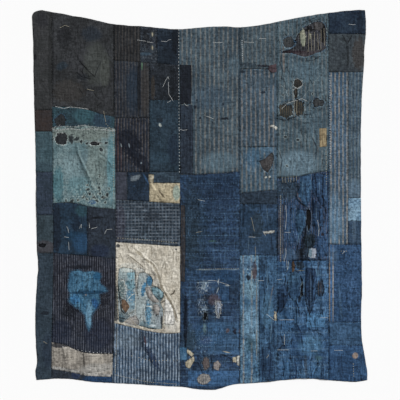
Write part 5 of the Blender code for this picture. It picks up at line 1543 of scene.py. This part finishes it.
def laid_rag(name, outline, material, lift, sizes, seed, floor=None, edge_shade_inset=0.0):
    """A thin rag on the cloth, or on a floor height given as a function, whose painted edge shade
    reaches an inset further in from its outline.
    """
    flat, faces = filled(outline, [], RAG_STEP, seed)
    points = np.column_stack([flat, np.zeros(len(flat))])
    under = np.array([(floor or Surface.height)(p[0], p[1]) for p in points])
    edge = distances(flat, [outline])
    slope = 0.004 if lift < 2.0 else 0.011
    points[:, 2] = under + sizes.rag_thickness + lift * MILLIMETRE * smoothstep(0.0, slope, edge)
    points[:, 2] += 0.0006 * smoothstep(0.0, 0.01, edge) * wave(points, 0.02, seed)
    points[:, 2] = np.clip(points[:, 2], 2.0 * sizes.rag_thickness, TOP_LIMIT)
    mesh = bpy.data.meshes.new(name)
    mesh.from_pydata(points.tolist(), [], faces)
    thick_sheet(
        mesh, points[:, 2] - sizes.rag_thickness - 0.0002, material, edge - edge_shade_inset,
        np.full(len(flat), 1.0))
    return link(name, mesh)


def declared(piece, nodes=()):
    """Attaches the piece to the one body, so that it rides on it, and hides the solids it replaces."""
    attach(piece, "root")
    if nodes:
        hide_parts(*nodes)
    points = mesh_points(piece.data)
    size = points.max(axis=0) - points.min(axis=0)
    area = upper_area(piece.data)
    share = area / (size[0] * size[1])
    float(min(max(share, 0.31), 1.0) * size[0] * size[1])


def upper_area(mesh):
    """The area that a closed sheet's upper faces cover, seen from above."""
    return sum(face.area * face.normal.z for face in mesh.polygons if face.normal.z > 0.2)


class BORO_OT_cotton_pieces(bpy.types.Operator):
    """Make each sewn piece of cotton over its solid"""

    bl_idname = "boro.cotton_pieces"
    bl_label = "Cotton Pieces"

    def execute(self, context):
        sizes = context.scene.boro_sizes
        Ground.read()
        for node, look in CLOTHS.items():
            piece = sewn_piece(node, cotton_material(node + "_cotton", look), sizes)
            declared(piece, [node])
        return {"FINISHED"}


class BORO_OT_backing_rags(bpy.types.Operator):
    """Lay a rag behind each hole"""

    bl_idname = "boro.backing_rags"
    bl_label = "Backing Rags"

    def execute(self, context):
        sizes = context.scene.boro_sizes
        for index, (name, node, cloth, _, wide) in enumerate(openings()):
            rag = laid_rag(
                name + "_backing", wide, rag_material(cloth), 0.3, sizes, 40.0 + index,
                lambda x, y: float(Ground.at(np.array([(x, y)]))[0]) - CLOTH_THICKNESS + 0.0003, 0.004)
            declared(rag, ())
        return {"FINISHED"}


RAG_MATERIALS = {}


def rag_material(cloth):
    if cloth not in RAG_MATERIALS:
        # Rags get stronger painted shade along their edges
        look = {**RAG_CLOTHS[cloth], "edge": 0.5}
        RAG_MATERIALS[cloth] = cotton_material(cloth.replace(" ", "_"), look)
    return RAG_MATERIALS[cloth]


class BORO_OT_rags(bpy.types.Operator):
    """Lay the small rags and scraps on the cloth"""

    bl_idname = "boro.rags"
    bl_label = "Rags"

    def execute(self, context):
        sizes = context.scene.boro_sizes
        Surface.gather("_cotton", "_backing")
        for index, (name, (cloth, ragged, lift, points)) in enumerate(RAGS.items()):
            outline = closed_outline(points, ragged, float(index))
            rag = laid_rag(name, outline, rag_material(cloth), lift, sizes, float(index))
            declared(rag, ())
        Surface.gather("_cotton", "_backing", *RAGS)
        return {"FINISHED"}


def thread_material(thread):
    """Cotton thread: its colour, with soft bands where it is twisted and worn."""
    material, tree, shader = new_material(thread + "_thread")
    position = tree.node("ShaderNodeTexCoord", output=3)
    grain = tree.noise(position, 400.0, 2.0)
    colour = (*getattr(bpy.context.scene.boro_colours, thread), 1.0)
    darker = tuple(0.6 * c for c in colour[:3]) + (1.0,)
    tree.feed(shader.inputs["Base Color"], tree.mix(grain, darker, colour))
    tree.feed(shader.inputs["Roughness"], 0.75 + grain * 0.2)
    shader.inputs["Specular IOR Level"].default_value = 0.25
    return material


def thread_tree(name, sizes, material, build):
    """A Geometry Nodes group with named size inputs, whose middle build(nodes, add, entry) makes."""
    tree = bpy.data.node_groups.new(name, "GeometryNodeTree")
    tree.is_modifier = True
    tree.interface.new_socket("Geometry", in_out="INPUT", socket_type="NodeSocketGeometry")
    tree.interface.new_socket("Geometry", in_out="OUTPUT", socket_type="NodeSocketGeometry")
    identifiers = {}
    for label in sizes:
        socket = tree.interface.new_socket(label, in_out="INPUT", socket_type="NodeSocketFloat")
        identifiers[label] = socket.identifier
    entry, leave = tree.nodes.new("NodeGroupInput"), tree.nodes.new("NodeGroupOutput")

    def add(kind, settings=None, sockets=None):
        made = tree.nodes.new(kind)
        for key, value in (settings or {}).items():
            setattr(made, key, value)
        for key, value in (sockets or {}).items():
            if isinstance(value, bpy.types.NodeSocket):
                tree.links.new(value, made.inputs[key])
            else:
                made.inputs[key].default_value = value
        return made

    shape = build(add, entry)
    real = add("GeometryNodeRealizeInstances", None, {"Geometry": shape})
    dressed = add("GeometryNodeSetMaterial", None, {
        "Geometry": real.outputs[0], "Material": material})
    tree.links.new(dressed.outputs[0], leave.inputs[0])
    return tree, identifiers


def along_curve(add, entry, shape, turns, lengths, sizes):
    """A shape a pitch apart along each curve, turned and lengthened at random within two ranges."""
    resampled = add("GeometryNodeResampleCurve", {"mode": "LENGTH"}, {
        "Curve": entry.outputs["Geometry"], "Length": entry.outputs["Pitch"]})
    tangent = add("GeometryNodeInputTangent")
    turned = add("FunctionNodeAlignRotationToVector", {"axis": "X"}, {"Vector": tangent.outputs[0]})
    spin = add("FunctionNodeRandomValue", {"data_type": "FLOAT"}, turns)
    swing = add("ShaderNodeCombineXYZ", None, {2: spin.outputs[1]})
    rotated = add("FunctionNodeRotateRotation", {"rotation_space": "LOCAL"}, {
        0: turned.outputs[0], 1: swing.outputs[0]})
    stretch = add("FunctionNodeRandomValue", {"data_type": "FLOAT"}, lengths)
    length = add("ShaderNodeMath", {"operation": "MULTIPLY"}, {
        0: stretch.outputs[1], 1: entry.outputs["Length"]})
    scale = add("ShaderNodeCombineXYZ", None, {
        0: length.outputs[0], 1: entry.outputs[sizes[0]], 2: entry.outputs[sizes[1]]})
    placed = add("GeometryNodeInstanceOnPoints", None, {
        "Points": resampled.outputs[0], "Instance": shape, "Rotation": rotated.outputs[0],
        "Scale": scale.outputs[0]})
    return placed.outputs[0]


def running_stitches(add, entry):
    """Small rounded stitches along each curve, a pitch apart, each a little its own way."""
    bead = add("GeometryNodeMeshIcoSphere", None, {"Radius": 0.5, "Subdivisions": 1})
    return along_curve(
        add, entry, bead.outputs["Mesh"], {2: -0.25, 3: 0.25, "Seed": 11},
        {2: 0.6, 3: 1.25, "Seed": 4}, ("Width", "Thickness"))


def plain_thread(add, entry):
    """A thread of the given width along each curve."""
    ring = add("GeometryNodeCurvePrimitiveCircle", None, {"Resolution": 6})
    for socket in ring.inputs:
        if socket.name == "Radius":
            ring.id_data.links.new(entry.outputs["Width"], socket)
    tube = add("GeometryNodeCurveToMesh", None, {
        "Curve": entry.outputs["Geometry"], "Profile Curve": ring.outputs[0], "Fill Caps": True})
    return tube.outputs[0]


def frayed_yarns(add, entry):
    """Short loose yarns that lean out all along each curve."""
    yarn = add("GeometryNodeMeshCone", None, {
        "Vertices": 5, "Radius Top": 0.3, "Radius Bottom": 0.5, "Depth": 1.0})
    laid = add("GeometryNodeTransform", None, {
        "Geometry": yarn.outputs["Mesh"], "Rotation": (0.0, math.pi / 2, 0.0)})
    return along_curve(
        add, entry, laid.outputs[0], {2: -2.6, 3: -0.5, "Seed": 5},
        {2: 0.4, 3: 1.3, "Seed": 9}, ("Width", "Width"))


def surface_curve(name, lines):
    """A curve object whose lines follow the cloth's surface, a little above it."""
    data = bpy.data.curves.new(name, "CURVE")
    data.dimensions = "3D"
    for places in lines:
        spots = []
        for first, second in zip(places, places[1:]):
            steps = max(1, round((second - first).length / OUTLINE_STEP))
            spots += [first.lerp(second, n / steps) for n in range(steps)]
        spots.append(places[-1])
        spline = data.splines.new("POLY")
        spline.points.add(len(spots) - 1)
        for point, spot in zip(spline.points, spots):
            sway = noise.noise(Vector((spot.x * 60, spot.y * 60, 3.0))) * 0.0012
            x, y = spot.x + sway, spot.y - sway
            point.co = (x, y, Surface.height(x, y) + PATH_LIFT, 1.0)
    return link(name, data)


def sewn_lines(name, lines, thread, build, values):
    """The lines of one thread as a plain mesh, made by Geometry Nodes."""
    curve = surface_curve(name + "_path", lines)
    tree, identifiers = thread_tree(name, list(values), thread_material(thread), build)
    modifier = curve.modifiers.new("Thread", "NODES")
    modifier.node_group = tree
    for label, value in values.items():
        modifier[identifiers[label]] = value
    mesh = baked(curve)
    bpy.data.objects.remove(curve)
    for face in mesh.polygons:
        face.use_smooth = True
    for vertex in mesh.vertices:
        vertex.co.z = min(max(vertex.co.z, 0.0), TOP_LIMIT)
    piece = link(name, mesh)
    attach(piece, "root")


def taped(lines):
    """Lines of taped points as lines of positions."""
    return [[Vector(place(*p)) for p in line] for line in lines]


class BORO_OT_stitches(bpy.types.Operator):
    """Sew the running stitches"""

    bl_idname = "boro.stitches"
    bl_label = "Stitches"

    def execute(self, context):
        sizes = context.scene.boro_sizes
        for (thread, pitch), lines in STITCH_LINES.items():
            sewn_lines(
                f"stitches_{thread}_{pitch:g}mm", taped(lines), thread, running_stitches, {
                    "Pitch": pitch * MILLIMETRE, "Length": sizes.stitch_length,
                    "Width": sizes.thread_width, "Thickness": sizes.thread_thickness})
        return {"FINISHED"}


class BORO_OT_loose_threads(bpy.types.Operator):
    """Lay the loose threads"""

    bl_idname = "boro.loose_threads"
    bl_label = "Loose Threads"

    def execute(self, context):
        sizes = context.scene.boro_sizes
        for thread, lines in LOOSE_THREADS.items():
            sewn_lines(
                f"loose_{thread}_threads", taped(lines), thread, plain_thread,
                {"Width": sizes.thread_width * LOOSE_SHARE})
        return {"FINISHED"}


class BORO_OT_fringes(bpy.types.Operator):
    """Fray the edges of holes, tears and rags"""

    bl_idname = "boro.fringes"
    bl_label = "Fringes"

    def execute(self, context):
        sizes = context.scene.boro_sizes
        edges = {name: edge for name, _, _, edge, _ in openings()}
        for index, (name, (_, ragged, _, points)) in enumerate(RAGS.items()):
            edges[name] = closed_outline(points, ragged, float(index))
        groups = {}
        for name, thread in FRINGES.items():
            groups.setdefault(thread, []).append(edges[name] + edges[name][:1])
        for thread, lines in groups.items():
            sewn_lines(f"{thread}_fringes", lines, thread, frayed_yarns, {
                "Pitch": sizes.fringe_pitch, "Length": sizes.fringe_length,
                "Width": sizes.thread_width * FRINGE_SHARE})
        return {"FINISHED"}


class BORO_OT_stage(bpy.types.Operator):
    """Set the floor, the light and the camera"""

    bl_idname = "boro.stage"
    bl_label = "Stage"

    def execute(self, context):
        light = context.scene.boro_light
        set_floor(light)
        set_light(light)
        set_camera()
        context.scene.view_settings.view_transform = "Standard"
        context.scene.view_settings.look = "None"
        return {"FINISHED"}


def set_floor(light):
    bpy.ops.mesh.primitive_plane_add(size=8.0, location=(0.0, 0.0, 0.0))
    floor = bpy.context.object
    floor.name = "floor"
    floor.data.transform(floor.matrix_world)
    for vertex in floor.data.vertices:
        vertex.co.z = -0.0006
    material, tree, shader = new_material("floor")
    position = tree.node("ShaderNodeTexCoord", output=3)
    soft = tree.noise(position, 3.0, 2.0)
    pale = (*light.floor_colour, 1.0)
    tree.feed(shader.inputs["Base Color"], tree.mix(
        soft, pale, tuple(min(1.0, c * 1.01) for c in pale)))
    shader.inputs["Roughness"].default_value = 0.9
    floor.data.materials.append(material)


def set_light(light):
    world = bpy.data.worlds.new("studio")
    world.use_nodes = True
    background = world.node_tree.nodes["Background"]
    background.inputs["Color"].default_value = (1.0, 1.0, 1.0, 1.0)
    background.inputs["Strength"].default_value = light.sky_strength
    bpy.context.scene.world = world
    sun = bpy.data.lights.new("sun", "SUN")
    sun.energy = light.sun_strength
    sun.angle = math.radians(9.0)
    lamp = link("sun", sun)
    lamp.rotation_euler = (math.radians(-SUN_TILT), 0.0, math.radians(SUN_TURN))


SUN_TILT = 50.0
SUN_TURN = -38.0
CAMERA_HEIGHT = 12.0
PHOTO_SIDE = 2.0
SENSOR = 36.0


def set_camera():
    """Straight above the cloth's middle, so that the image is two metres wide."""
    data = bpy.data.cameras.new("camera")
    data.sensor_width = SENSOR
    data.lens = SENSOR * CAMERA_HEIGHT / PHOTO_SIDE
    camera = link("camera", data)
    camera.location = (*place(100.0, 100.0), CAMERA_HEIGHT)
    bpy.context.scene.camera = camera


class BORO_PT_panel(bpy.types.Panel):
    """The pieces of the cloth, in the order in which they are made"""

    bl_label = "Boro Cloth"
    bl_idname = "BORO_PT_panel"
    bl_space_type = "VIEW_3D"
    bl_region_type = "UI"
    bl_category = "Boro"

    def draw(self, context):
        column = self.layout.column()
        for operator in OPERATORS:
            column.operator(operator.bl_idname)
        scene = context.scene
        for group in (scene.boro_sizes, scene.boro_colours, scene.boro_light):
            for name in group.__annotations__:
                column.prop(group, name)


OPERATORS = (
    BORO_OT_cotton_pieces, BORO_OT_backing_rags, BORO_OT_rags, BORO_OT_stitches,
    BORO_OT_loose_threads, BORO_OT_fringes, BORO_OT_stage,
)
CLASSES = (ClothSizes, ClothColours, ClothLight, *OPERATORS, BORO_PT_panel)


def register():
    for cls in CLASSES:
        bpy.utils.register_class(cls)
    bpy.types.Scene.boro_sizes = bpy.props.PointerProperty(type=ClothSizes)
    bpy.types.Scene.boro_colours = bpy.props.PointerProperty(type=ClothColours)
    bpy.types.Scene.boro_light = bpy.props.PointerProperty(type=ClothLight)


def unregister():
    del bpy.types.Scene.boro_sizes
    del bpy.types.Scene.boro_colours
    del bpy.types.Scene.boro_light
    for cls in reversed(CLASSES):
        bpy.utils.unregister_class(cls)


def main():
    register()
    bpy.ops.boro.cotton_pieces()
    bpy.ops.boro.backing_rags()
    bpy.ops.boro.rags()
    bpy.ops.boro.stitches()
    bpy.ops.boro.loose_threads()
    bpy.ops.boro.fringes()
    bpy.ops.boro.stage()


if __name__ == "__main__":
    main()
